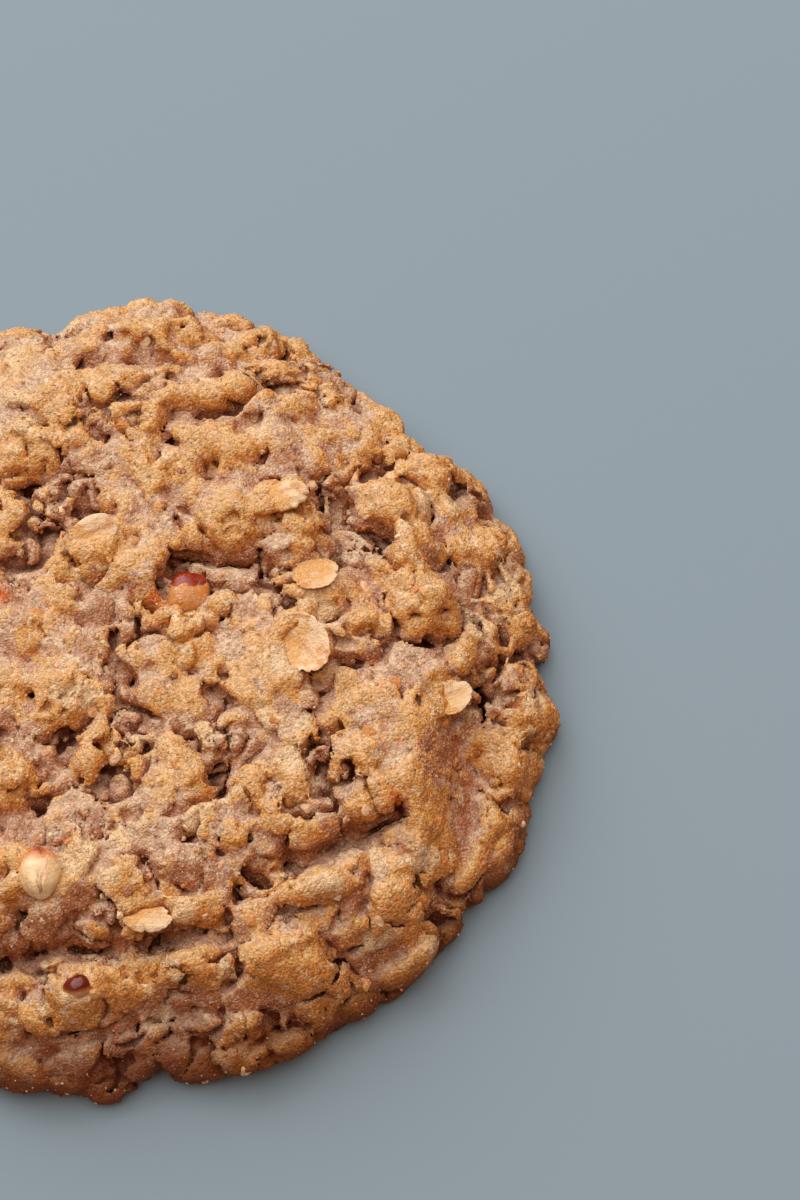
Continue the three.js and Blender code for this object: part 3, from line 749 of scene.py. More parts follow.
# %% Holes
# Plan position, radius and depth. The largest is the notch in the rim at the back.
HOLES = [
    (-10.5, 27, 1.0, 3.0), (-4.2, 37.5, 0.7, 2.0), (-7.5, 37.8, 0.6, 1.8), (2.5, 37.3, 0.9, 1.6),
    (12.3, 37, 1.3, 2.0), (5.6, 9.0, 1.9, 4.0), (4.3, 5.2, 1.1, 2.8), (0.5, -6.3, 1.1, 3.5),
    (6.7, -12, 1.1, 2.5), (11.3, -16, 0.8, 2.2), (18, -11.7, 0.8, 2.0), (22.7, -16.2, 0.6, 2.0),
    (28.8, 13.3, 1.3, 4.0), (27.8, 22.5, 1.2, 3.0), (25.3, 17.6, 1.0, 3.0), (24.7, 9.4, 0.9, 3.0),
    (16.5, -29.5, 1.6, 5.0), (16, 12.5, 0.7, 2.0), (12.6, 12, 0.6, 2.0), (37, -31.5, 1.8, 3.4),
    (15, -24.5, 0.6, 1.6), (35.2, 33.0, 5.0, 14.0), (-24, 12, 0.9, 2.6), (-31, -4, 1.0, 3.0),
    (-20, -8.5, 0.8, 2.4), (-33, 21, 0.9, 2.6), (-27, -24, 1.0, 3.0), (-16.5, -27, 0.8, 2.2),
    (-38, -14, 0.8, 2.4),
]
HOLE_LENGTH, HOLE_WIDTH = 1.35, 0.55  # shares of the radius
HOLE_RAGGED = 3.0


def dig(at, normal, radius, depth, turn):
    """Takes out a long ragged hole, which goes in along the normal."""
    middle = np.asarray(at) - np.asarray(normal) * depth * 0.3
    block = block_round(middle, depth + 1.5)
    offset = [moved[way][block] - np.float32(middle[way]) for way in range(3)]
    deep = sum(offset[way] * np.float32(normal[way]) for way in range(3))
    along, across, _ = lying_axes(np.asarray(normal, dtype=float), turn)
    wide = sum(offset[way] * np.float32(across[way]) for way in range(3)) / np.float32(HOLE_WIDTH * radius)
    long = sum(offset[way] * np.float32(along[way]) for way in range(3)) / np.float32(HOLE_LENGTH * radius)
    size = np.sqrt(wide**2 + long**2 + (deep / depth) ** 2) + HOLE_RAGGED * ragged[block]
    carve(block, (size - 1) * radius * 0.6, 0.1)


mouths = straight_down(on_dough, [(x, y) for x, y, _, _ in HOLES])
numbers = chance(seed=61)
for mouth, (_, _, radius, depth) in zip(mouths, HOLES):
    dig(mouth, (0, 0, 1), radius, depth, math.pi * next(numbers))
print(len(HOLES), "holes")

# %% Plates and knobs that stood up settled back while the dough was soft
SETTLED = 0.5  # how far over the plain form the dough may stand
SETTLED_AT_RIM = 0.15
SETTLED_SOFTNESS = 0.3
RIM_HEIGHT = 4
TOP_HEIGHT = 9.5
heights = axis_z.astype(np.float32)[None, None, :]
on_top = np.clip((heights - RIM_HEIGHT) / (TOP_HEIGHT - RIM_HEIGHT), 0, 1)  # 0 at the rim and 1 on the top
limit = SETTLED_AT_RIM + (SETTLED - SETTLED_AT_RIM) * on_top
dough = -blend(-dough, limit + 0.6 * ragged - plain_dough, SETTLED_SOFTNESS)
print("settled to", SETTLED, "mm over the plain form")

# %% Ragged edges everywhere
SHAKES = [(1.6, 0.22, 101), (0.75, 0.15, 111)]  # wavelength, reach, seed
SKIN = 1.6  # only this close to the surface
near = np.argwhere(np.abs(dough) < SKIN)
looked = (origin + near * CELL).astype(np.float32)
for wavelength, reach, seed in SHAKES:
    for way in range(3):
        looked[:, way] += np.float32(reach) * grid_noise(axes, wavelength, seed + way)[tuple(near.T)]
dough[tuple(near.T)] = read(dough, looked)
print(len(near), "grid points shaken")


# %% Clumps and crumbs that the whole surface is made of
RISING = (0.14, -0.16)  # most clumps came up on the side away from the middle of the tray


def crumble(points, wavelength, seed):
    """Splits space into crumbs round random middles. For each point: its squared distance from its own
    crumb's middle, that to the next one, the crumb's own chance number, and where it is on the crumb's
    sloping top."""
    scaled = points / np.float32(wavelength)
    low = np.floor(scaled.min(0)).astype(int) - 1
    span = np.floor(scaled.max(0)).astype(int) + 3 - low
    corners = [np.arange(start, start + many) for start, many in zip(low, span)]
    grid = corners[0][:, None, None], corners[1][None, :, None], corners[2][None, None, :]
    shifts = [((lattice(*grid, seed + way) + 1) / 2).astype(np.float32).ravel() for way in range(4)]
    base = np.floor(scaled - 0.5).astype(np.int32) - low.astype(np.int32)
    scaled = scaled - low.astype(np.float32)
    least = np.full(len(points), FAR, dtype=np.float32)
    other, own, slope = least.copy(), least.copy(), least.copy()
    for corner in CUBE_CORNERS:
        cell = base + np.array(corner, dtype=np.int32)
        which = (cell[:, 0] * span[1] + cell[:, 1]) * span[2] + cell[:, 2]
        jitter = [shifts[way][which] for way in range(3)]
        offset = [scaled[:, way] - cell[:, way] - jitter[way] for way in range(3)]
        away = (offset[0]**2 + offset[1]**2 + offset[2]**2).astype(np.float32)
        closer = away < least
        other = np.minimum(other, np.maximum(least, away))
        own = np.where(closer, shifts[3][which], own)
        tilt = (jitter[0] - 0.5 + RISING[0]) * offset[0] + (jitter[1] - 0.5 + RISING[1]) * offset[1]
        slope = np.where(closer, tilt, slope)
        least = np.minimum(least, away)
    return least, other, own, slope


# Size of the crumbs, how domed, how uneven in height and how sloping they are, the gap between them and how
# often it is open, and the seed.
CRUMBLES = [
    (6.6, 0.52, 0.33, 0.34, 0.27, 0.25, 131), (3.2, 0.48, 0.24, 0.22, 0.2, -0.1, 141),
    (1.5, 0.42, 0.16, 0.12, 0.1, -0.2, 151), (0.85, 0.28, 0.0, 0.0, 0.0, 0.0, 155),
]
WARPS = [(4.5, 0.9, 181), (1.9, 0.36, 161), (0.8, 0.14, 171)]  # wavelength, reach, seed
USUAL_AWAY = 0.35  # a usual squared distance from a crumb's middle, in crumbs
GOLD_SPREAD = 0.42  # how unlike in colour the crumbs are
GAP_DEPTH = 1.4
GAP_SOFTNESS = 0.15
FOOT_WIDTH = 0.26  # half of it
near = np.argwhere(np.abs(dough) < SKIN)
spots = tuple(near.T)
looked = (origin + near * CELL).astype(np.float32)
for wavelength, reach, seed in WARPS:
    for way in range(3):
        looked[:, way] += np.float32(reach) * grid_noise(axes, wavelength, seed + way)[spots]
opening = grid_noise(axes, 6.0, 81)[spots] + 0.5 * grid_noise(axes, 2.0, 82)[spots]
surface = dough[spots]
air = np.full(len(near), FAR, dtype=np.float32)
for size, dome, step, slant, gap, often, seed in CRUMBLES:
    least, other, own, slope = crumble(looked, size, seed)
    surface -= dome * (USUAL_AWAY - least) + step * (2 * own - 1) + slant * slope
    gold[spots] += np.float32(GOLD_SPREAD) * (own - 0.5)
    if gap:
        edge = (np.sqrt(other) - np.sqrt(least)) * size / 2
        air = np.minimum(air, edge - gap * (1.1 * opening + often))
air = np.minimum(air, foot_line[spots] + 0.9 * ragged[spots] - FOOT_WIDTH * (0.7 + 1.3 * opening))
# A gap narrows from the surface down, and is shut below its depth.
shut = 1 + surface / GAP_DEPTH
air = air * np.clip(shut, 0.15, 1) + 2 * np.maximum(0, -shut)
dough[spots] = -blend(-surface, air, GAP_SOFTNESS)
print(len(near), "grid points crumbled")

# %% Where the solids of the oats and nuts lie
MIDDLE = np.array([0.9835, 0.0826, 0.0])  # from the solids' origin to the middle that the lobes turn about
# Seed, how far the rim stands above the middle, thickness, splits in the rim, the bearing in degrees of the
# side that dough and sand cover, and how white it is.
FLAKES = {
    "oat_flake_round": (201, 0.5, 0.5, 4, 120, 0.3), "oat_flake_large": (202, 1.1, 0.5, 5, 175, 0.8),
    "oat_flake_white": (203, -0.5, 0.9, 4, 200, 1.0), "oat_flake_pale": (204, 0.3, 0.6, 3, 250, 0.8),
    "oat_flake_front": (205, -0.4, 0.7, 4, 130, 0.6), "oat_flake_side": (206, 0.35, 0.6, 4, 220, 0.4),
}
NUTS = ["nut_skinned", "nut_half", "nut_chip"]


def lie_of(node):
    """A solid's middle, its own length, width and height directions, and its size along them, in mm."""
    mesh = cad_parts[node].data
    points = np.empty(len(mesh.vertices) * 3)
    mesh.vertices.foreach_get("co", points)
    points = points.reshape(-1, 3) / MM
    middle = (points.min(0) + points.max(0)) / 2
    _, _, own = np.linalg.svd(points - points.mean(0), full_matrices=False)
    if own[2][2] < 0:
        own[2] = -own[2]
    own[1] = np.cross(own[2], own[0])
    along = (points - middle) @ own.T
    middle = middle + own.T @ ((along.min(0) + along.max(0)) / 2)
    return middle, own, np.ptp(along, axis=0)


lies = {node: lie_of(node) for node in [*FLAKES, *NUTS]}
for node, (_, _, size) in lies.items():
    print(node, "is", " by ".join(f"{v:.1f}" for v in size), "mm")

# %% Room for them in the dough, which laps over their edges here and there
# Where dough covers part of a piece: bearings in degrees seen from above, and how far in from its edge.
LAPS = {
    "oat_flake_round": [(215, 1.0)],
    "oat_flake_large": [(105, 0.95), (140, 0.75), (180, 0.75), (215, 0.85), (250, 0.95)],
    "oat_flake_white": [(190, 0.85), (235, 0.9), (150, 0.95)],
    "oat_flake_pale": [(270, 0.8), (320, 0.85), (220, 0.85)],
    "oat_flake_front": [(150, 0.85), (100, 0.95)],
    "oat_flake_side": [(200, 0.85), (250, 0.9), (160, 0.95)],
    "nut_skinned": [(265, 0.95)],
    "nut_half": [(15, 0.9), (330, 0.85), (280, 0.9)],
    "nut_chip": [(200, 0.95), (340, 0.95)],
}
# The share of the outline that is clear of dough.
NUT_SHOWN = {"nut_skinned": 0.74, "nut_half": 0.7, "nut_chip": 0.85}
FLAKE_SHOWN = 0.93
UNDER = 0.25  # how far the dough is cleared below a flake
SINK = 0.4  # how far the dusted side of a flake is sunk, and the other side raised
POCKET_MARGIN = 3
POCKET_SOFTNESS = 0.2
DISH_POWER = 2.2  # how steeply a flake's face rises towards its rim


def way_at(degrees):
    """The level direction at a bearing."""
    bearing = math.radians(degrees)
    return np.array([math.cos(bearing), math.sin(bearing), 0])


def dusted_way(node):
    """The direction to the dusted side of a flake, seen from above and along its own length and width."""
    way = way_at(FLAKES[node][4])
    return way, lies[node][1][:2] @ way


numbers = chance(seed=121)
for node, (middle, own, size) in lies.items():
    place = middle + MIDDLE
    block = block_round(place, size[0] / 2 + POCKET_MARGIN)
    at_rest = [np.broadcast_to(a, dough[block].shape) for a in np.meshgrid(
        *(axis[cut] for axis, cut in zip(axes, block)), indexing="ij")]
    out = own[2] if node in FLAKES else normals_of(core, straight_down(core, place[:2]))[0]
    # Across the way out (r) and along it (w), with the rim of the piece at r = 1.
    t = [2 * sum((at_rest[way] - place[way]) * axis[way] for way in range(3)) / length
         for axis, length in zip(own, size)]
    lean = [2 * out.dot(axis) / length for axis, length in zip(own, size)]
    steep = math.sqrt(sum(part**2 for part in lean))
    up = sum(a * b for a, b in zip(t, lean)) / steep
    r = np.sqrt(np.maximum(0, sum(a * a for a in t) - up * up))
    w = up / steep
    shown = NUT_SHOWN.get(node, FLAKE_SHOWN)
    past_edge = (r - shown) * size[1] / 2 + 0.6 * ragged[block] - 0.7 * np.clip(w, 0, 3)
    lowest = -0.1 * size[2]
    if node in FLAKES:
        _, share = dusted_way(node)
        dish = FLAKES[node][1] * (np.minimum(r, 1) ** DISH_POWER - 0.5)
        lowest = dish - UNDER - SINK * (t[0] * share[0] + t[1] * share[1])
    carve(block, np.maximum(past_edge, lowest - w), POCKET_SOFTNESS)
    for bearing, inward in LAPS[node]:
        flat = own[:2] @ way_at(bearing)
        reach = inward / math.hypot(flat[0] / size[0], flat[1] / size[1]) / 2
        lift = 0.1 if node in FLAKES else 0.28 * size[2]
        at = place + (flat @ own[:2]) * reach + out * lift
        bulk = 1.0 + 0.6 * next(numbers)
        lying = lying_axes(own[2], math.radians(bearing + 90))
        block, distance = add_lump(at, lying, (bulk * 1.5, bulk, 0.6), POCKET_SOFTNESS)
        note(block, distance, 0.5 + 0.4 * next(numbers))
print(len(lies), "pockets and", sum(map(len, LAPS.values())), "laps")

# %% Nothing thinner than the grid can show, nothing far outside the plain form, and the flat base
MOST_PROUD = 1.5  # how far over the plain form anything may stand
PROUD_AT_RIM = 0.5
PROUD_SOFTNESS = 0.8
CEILING = 19.5
CEILING_SOFTNESS = 0.6
OWN_WEIGHT = 8  # of a point of the grid, against 1 for each of its two neighbours along an axis
# How far round a point to look, and the least share of dough there. This also takes a quarter of a
# millimetre off the base.
THINNEST = [(0.3, 0.34), (0.6, 0.31), (1.2, 0.28)]
FOOT_ROUND = 1.3
proud = PROUD_AT_RIM + (MOST_PROUD - PROUD_AT_RIM) * on_top
dough = -blend(-dough, proud - plain_dough, PROUD_SOFTNESS)
for axis in range(3):
    before, after = np.roll(dough, 1, axis), np.roll(dough, -1, axis)
    dough = (before + OWN_WEIGHT * dough + after) / (OWN_WEIGHT + 2)
for reach, least in THINNEST:
    share = blurred(np.clip(0.5 - dough / CELL, 0, 1), reach)
    dough = np.maximum(dough, (least - share) * 2 * reach)
dough = -blend(-dough, CEILING - heights, CEILING_SOFTNESS)
dough = -blend(-dough, heights, FOOT_ROUND).astype(np.float32)
dough[:, :, -1] = 1
print("the dough is", round(float(axis_z[np.any(dough < 0, axis=(0, 1))][-1]), 1), "mm high")

# %% [markdown]
# ## From distance to surface
#
# A mesh is drawn where the distance is zero. Every little cube of the grid that the surface passes through
# gets one point, in the middle of where the surface cuts the cube's edges, and the points of neighbouring
# cubes are joined by squares. This is called surface nets. Crumbs that hang in the air and bubbles inside are
# left out, by keeping only the squares that hang together with most of the others.


# %% Surface nets
def surface_nets(field):
    """Points in mm and squares of the field's zero surface, facing outwards."""
    inside = field < 0
    low = inside[:-1, :-1, :-1]
    mixed = np.zeros(low.shape, dtype=bool)
    for i, j, k in CUBE_CORNERS[1:]:
        mixed |= inside[i:low.shape[0] + i, j:low.shape[1] + j, k:low.shape[2] + k] != low
    cells = np.argwhere(mixed)
    number = np.full(mixed.shape, -1, dtype=np.int32)
    number[mixed] = np.arange(len(cells))

    total, cuts = np.zeros((len(cells), 3)), np.zeros(len(cells))
    for start in CUBE_CORNERS:
        for axis in range(3):
            if start[axis]:
                continue
            end = tuple(1 if way == axis else v for way, v in enumerate(start))
            a = field[tuple((cells + start).T)]
            b = field[tuple((cells + end).T)]
            crossed = (a < 0) != (b < 0)
            t = a[crossed] / (a[crossed] - b[crossed])
            place = np.tile(np.array(start, dtype=float), (crossed.sum(), 1))
            place[:, axis] += t
            total[crossed] += place
            cuts[crossed] += 1
    points = origin + (cells + total / cuts[:, None]) * CELL

    squares = []
    for axis in range(3):
        first = [slice(0, -1) if way == axis else slice(1, -1) for way in range(3)]
        after = [slice(1, None) if way == axis else slice(1, -1) for way in range(3)]
        a, b = inside[tuple(first)], inside[tuple(after)]
        crossing = np.argwhere(a != b)
        crossing[:, [way for way in range(3) if way != axis]] += 1
        leaving = inside[tuple(crossing.T)]
        u, v = (axis + 1) % 3, (axis + 2) % 3
        ring = []
        for du, dv in ((1, 1), (0, 1), (0, 0), (1, 0)):
            cell = crossing.copy()
            cell[:, u] -= du
            cell[:, v] -= dv
            ring.append(number[tuple(cell.T)])
        square = np.stack(ring, 1)
        square[~leaving] = square[~leaving][:, ::-1]
        squares.append(square)
    return points, np.vstack(squares)


def largest_part(points, squares):
    """Leaves out whatever doesn't hang together with most of the surface."""
    label = np.arange(len(points))
    sides = np.vstack([squares[:, [0, 1]], squares[:, [1, 2]], squares[:, [2, 3]], squares[:, [3, 0]]])
    while True:
        least = np.minimum(label[sides[:, 0]], label[sides[:, 1]])
        before = label.copy()
        np.minimum.at(label, sides[:, 0], least)
        np.minimum.at(label, sides[:, 1], least)
        label = label[label]
        if np.array_equal(before, label):
            break
    most = np.bincount(label).argmax()
    kept = label == most
    renumber = np.cumsum(kept) - 1
    return points[kept], renumber[squares[kept[squares[:, 0]]]]


points, squares = largest_part(*surface_nets(dough))
print(len(points), "points and", len(squares), "squares")


# %% Into a mesh
def mesh_object(name, points, faces):
    """An object from points in mm and faces of one and the same number of corners."""
    mesh = bpy.data.meshes.new(name)
    corners = faces.shape[1]
    mesh.vertices.add(len(points))
    mesh.vertices.foreach_set("co", (points * MM).ravel())
    mesh.loops.add(faces.size)
    mesh.loops.foreach_set("vertex_index", faces.ravel())
    mesh.polygons.add(len(faces))
    mesh.polygons.foreach_set("loop_start", np.arange(0, faces.size, corners))
    mesh.polygons.foreach_set("loop_total", np.full(len(faces), corners))
    mesh.update(calc_edges=True)
    mesh.validate()
    thing = bpy.data.objects.new(name, mesh)
    bpy.context.scene.collection.objects.link(thing)
    return thing


def settled(thing):
    """The object with its modifiers worked into a plain mesh."""
    graph = bpy.context.evaluated_depsgraph_get()
    mesh = bpy.data.meshes.new_from_object(thing.evaluated_get(graph))
    thing.modifiers.clear()
    old = thing.data
    thing.data = mesh
    mesh.name = thing.name
    bpy.data.meshes.remove(old)
    return thing


MOST_TRIANGLES = 190000
body = mesh_object("dough_crust", points - MIDDLE, squares)
thin = body.modifiers.new("thin out", "DECIMATE")
thin.ratio = min(1.0, MOST_TRIANGLES / (2 * len(squares)))
settled(body)
print("the dough has", len(body.data.polygons), "faces")

# %% [markdown]
# ## What the dough's colour goes by
#
# A cookie is golden where it stands up, because those parts brown first, and dull and pinkish down in its
# hollows. Light and shade are painted in as well: pale on the sides that face the lamps, darker on the other
# sides, and dark brown in the hollows and cracks, which is partly the dough's own darker colour there and
# partly painted shade. How deep a point lies is read off the grid: where most of what surrounds it is dough,
# it lies in a hollow. These values, and how squarely each point faces the lamps, are kept on the mesh's own
# points for the materials to read.


# %% Values kept on the points
def keep(mesh, name, values):
    """Stores a number for each point of a mesh under a name."""
    kept = mesh.attributes.new(name, "FLOAT", "POINT")
    kept.data.foreach_set("value", np.asarray(values, dtype=np.float32))


def points_of(mesh):
    """The mesh's points, in mm from the middle that the lobes turn about."""
    places = np.empty(len(mesh.vertices) * 3)
    mesh.vertices.foreach_get("co", places)
    return places.reshape(-1, 3) / MM + MIDDLE


def sunkenness(reach):
    """0 where the dough is flat, more where it stands round the point, and less where it falls away."""
    return (read(blurred(solid, reach), places) - 0.5) * 3


solid = np.clip(0.5 - dough / CELL, 0, 1)
solid[:, :, :3] = 1  # the tray it was baked on
places = points_of(body.data)
OAT_FADE = 0.3
fields = {
    "hollow": sunkenness(0.5),
    "sunk": sunkenness(2.2),
    "gold": read(gold, places),
    "oat": np.clip(0.5 - read(oat_air, places) / OAT_FADE, 0, 1),
}
# Plan position and radius of the spots where a bit of nut skin or a bare corner of oat caught the heat.
TOASTED = [
    ((3.4, 3.6), 0.8), ((31.4, -20.2), 0.7), ((-14.5, 4.4), 0.9), ((0.8, 4.8), 0.5), ((-21, 2.6), 0.7),
]
fields["toasted"] = np.zeros(len(places))
for spot, radius in TOASTED:
    away = np.linalg.norm(places[:, :2] - spot, axis=1) + 1.5 * read(ragged, places)
    fields["toasted"] = np.maximum(fields["toasted"], np.clip(1.5 - away / radius, 0, 1))
LAMP_WAY = np.array([-0.3, 0.38, 0.875])  # up, and towards the lamps: the side that faces this way gets a painted highlight, the other side painted shade
BROAD_REACH = 1.2
BROAD_PROBE = 0.6
# How squarely each point faces the lamps, for the painted highlight and shade of the dough.
normal = np.empty(len(places) * 3)
body.data.vertices.foreach_get("normal", normal)
fields["lit_side"] = normal.reshape(-1, 3) @ LAMP_WAY
# The way that the dough faces on the whole, for what will lie on it.
broad = blurred(solid, BROAD_REACH)
pushes = np.eye(3) * BROAD_PROBE
facing = np.stack([read(broad, places - push) - read(broad, places + push) for push in pushes], 1)
facing /= np.maximum(1e-6, np.linalg.norm(facing, axis=1, keepdims=True))
body.data.attributes.new("broad", "FLOAT_VECTOR", "POINT").data.foreach_set("vector", facing.ravel())
for name, values in fields.items():
    keep(body.data, name, values)
    print(name, np.percentile(values, (5, 25, 50, 75, 95)).round(2))

# %% [markdown]
# ## Materials
#
# Everything on the cookie is dusted with the same sand: sugar, salt and flour that came out of the dough. So
# one node group makes the sand for all materials, and they differ in what lies under it.


# %% Small helpers for node trees
def new_group(name, inputs, outputs):
    """A node group, with its sockets given as label and kind, and its two end nodes."""
    tree = bpy.data.node_groups.new(name, "ShaderNodeTree")
    for label, kind in inputs:
        tree.interface.new_socket(label, in_out="INPUT", socket_type="NodeSocket" + kind)
    for label, kind in outputs:
        tree.interface.new_socket(label, in_out="OUTPUT", socket_type="NodeSocket" + kind)
    return tree, tree.nodes.new("NodeGroupInput"), tree.nodes.new("NodeGroupOutput")


def put(tree, socket, value):
    """Links a socket or sets a constant."""
    if isinstance(value, bpy.types.NodeSocket):
        tree.links.new(value, socket)
    else:
        socket.default_value = value


def math_of(tree, operation, a, b, clamp=False):
    """The outcome of one sum on two sockets or numbers."""
    node = tree.nodes.new("ShaderNodeMath")
    node.operation = operation
    node.use_clamp = clamp
    put(tree, node.inputs[0], a)
    put(tree, node.inputs[1], b)
    return node.outputs[0]


def plus(tree, a, b, clamp=False):
    return math_of(tree, "ADD", a, b, clamp)


def minus(tree, a, b):
    return math_of(tree, "SUBTRACT", a, b)


def times(tree, a, b):
    return math_of(tree, "MULTIPLY", a, b)


def ramp_of(tree, value, low, high, to_low=0.0, to_high=1.0):
    """The value brought from one range to another, and held at its ends."""
    node = tree.nodes.new("ShaderNodeMapRange")
    node.interpolation_type = "SMOOTHSTEP"
    put(tree, node.inputs["Value"], value)
    for label, number in zip(("From Min", "From Max", "To Min", "To Max"), (low, high, to_low, to_high)):
        node.inputs[label].default_value = number
    return node.outputs["Result"]


def mix_of(tree, share, a, b, way="MIX"):
    """Colour a with a share of colour b in it or over it."""
    node = tree.nodes.new("ShaderNodeMix")
    node.data_type = "RGBA"
    node.blend_type = way
    put(tree, node.inputs[0], share)
    put(tree, node.inputs[6], a)
    put(tree, node.inputs[7], b)
    return node.outputs[2]


def noise_of(tree, place, scale, detail=2.0, rough=0.5):
    """Soft clouds from 0 to 1. The scale is in waves to a millimetre."""
    node = tree.nodes.new("ShaderNodeTexNoise")
    put(tree, node.inputs["Vector"], place)
    node.inputs["Scale"].default_value = scale
    node.inputs["Detail"].default_value = detail
    node.inputs["Roughness"].default_value = rough
    return node.outputs["Fac"]


def wave_of(tree, place, scale):
    """A push of up to a millimetre and a half each way, different from place to place."""
    node = tree.nodes.new("ShaderNodeTexNoise")
    put(tree, node.inputs["Vector"], place)
    node.inputs["Scale"].default_value = scale
    node.inputs["Detail"].default_value = 2.0
    push = tree.nodes.new("ShaderNodeVectorMath")
    push.operation = "SUBTRACT"
    tree.links.new(node.outputs["Color"], push.inputs[0])
    push.inputs[1].default_value = (0.5, 0.5, 0.5)
    wide = tree.nodes.new("ShaderNodeVectorMath")
    wide.operation = "SCALE"
    wide.inputs["Scale"].default_value = 3.0
    tree.links.new(push.outputs[0], wide.inputs[0])
    return wide.outputs[0]


def cells_of(tree, place, scale):
    """A grain pattern: each grain's random number and the distance from its middle."""
    node = tree.nodes.new("ShaderNodeTexVoronoi")
    put(tree, node.inputs["Vector"], place)
    node.inputs["Scale"].default_value = scale
    apart = tree.nodes.new("ShaderNodeSeparateColor")
    tree.links.new(node.outputs["Color"], apart.inputs[0])
    return apart.outputs[0], node.outputs["Distance"]


def value_of(tree, name):
    """A value that is kept on the mesh's points."""
    node = tree.nodes.new("ShaderNodeAttribute")
    node.attribute_name = name
    return node.outputs["Fac"]


def millimetres(tree):
    """Object coordinates in mm."""
    coordinates = tree.nodes.new("ShaderNodeTexCoord")
    scale = tree.nodes.new("ShaderNodeVectorMath")
    scale.operation = "SCALE"
    scale.inputs["Scale"].default_value = 1 / MM
    tree.links.new(coordinates.outputs["Object"], scale.inputs[0])
    return scale.outputs[0]


# %% Sand
SAND_GIVES = ["Shade", "Sugar", "Speck", "Height"]
sand, into, out = new_group("sand", [("Place", "Vector")], [(label, "Float") for label in SAND_GIVES])
place = into.outputs["Place"]
luck, away = cells_of(sand, place, 2.3)
fine_luck, fine_away = cells_of(sand, place, 4.2)
grains = minus(sand, 1.0, away)
fine_grains = minus(sand, 1.0, fine_away)
rubble = noise_of(sand, place, 1.5, 4.0, 0.62)
height = plus(sand, times(sand, grains, 0.4), times(sand, fine_grains, 0.4))
height = plus(sand, height, times(sand, rubble, 0.35))
shade = plus(sand, times(sand, luck, 0.4), times(sand, fine_luck, 0.6))
sugar = times(sand, ramp_of(sand, fine_luck, 0.5, 0.75), ramp_of(sand, fine_away, 0.7, 0.3))
dusty = noise_of(sand, place, 0.9, 3.0, 0.6)
sugar = times(sand, sugar, ramp_of(sand, dusty, 0.38, 0.62, 0.25, 1.0))
speck_luck, speck_away = cells_of(sand, place, 1.4)
speck = times(sand, ramp_of(sand, speck_luck, 0.85, 0.88), ramp_of(sand, speck_away, 0.2, 0.1))
for label, value in zip(SAND_GIVES, (shade, sugar, speck, height)):
    sand.links.new(value, out.inputs[label])


def use_sand(tree, place):
    """The outputs of the sand, worked out at a place in mm."""
    node = tree.nodes.new("ShaderNodeGroup")
    node.node_tree = sand
    tree.links.new(place, node.inputs["Place"])
    return node.outputs


def new_material(name, roughness):
    """A material with its node tree and its shader."""
    material = bpy.data.materials.new(name)
    material.use_nodes = True
    tree = material.node_tree
    shader = tree.nodes["Principled BSDF"]
    put(tree, shader.inputs["Roughness"], roughness)
    return material, tree, shader


def bump(tree, shader, height, depth):
    """Relief of a depth in mm."""
    node = tree.nodes.new("ShaderNodeBump")
    node.inputs["Distance"].default_value = depth * MM
    node.inputs["Strength"].default_value = 1.0
    tree.links.new(height, node.inputs["Height"])
    tree.links.new(node.outputs["Normal"], shader.inputs["Normal"])


# %% Dough
MAUVE = linear(196, 146, 117)
GOLDEN = linear(226, 170, 98)
# painted highlight: the pale colour of the sides that face the lamps
LIT_SIDE_PALE = linear(220, 194, 164)
SHADED_SIDE_TINT = linear(246, 214, 180)  # painted shade on the sides that face away from the lamps
BROWNED = linear(224, 146, 72)
# the dark brown of the gaps: partly the dough's own darker colour there, partly painted shade
GAP_BROWN_AND_SHADE = linear(88, 28, 6)
TOASTED_ORANGE = linear(214, 96, 24)
SUGAR = linear(240, 220, 194)
CINNAMON = linear(126, 52, 24)
OAT_CREAM = linear(240, 214, 174)
# browned foot, darker towards the front, where the darkening is partly painted shade
FOOT_BROWN_AND_SHADE = linear(112, 50, 20)


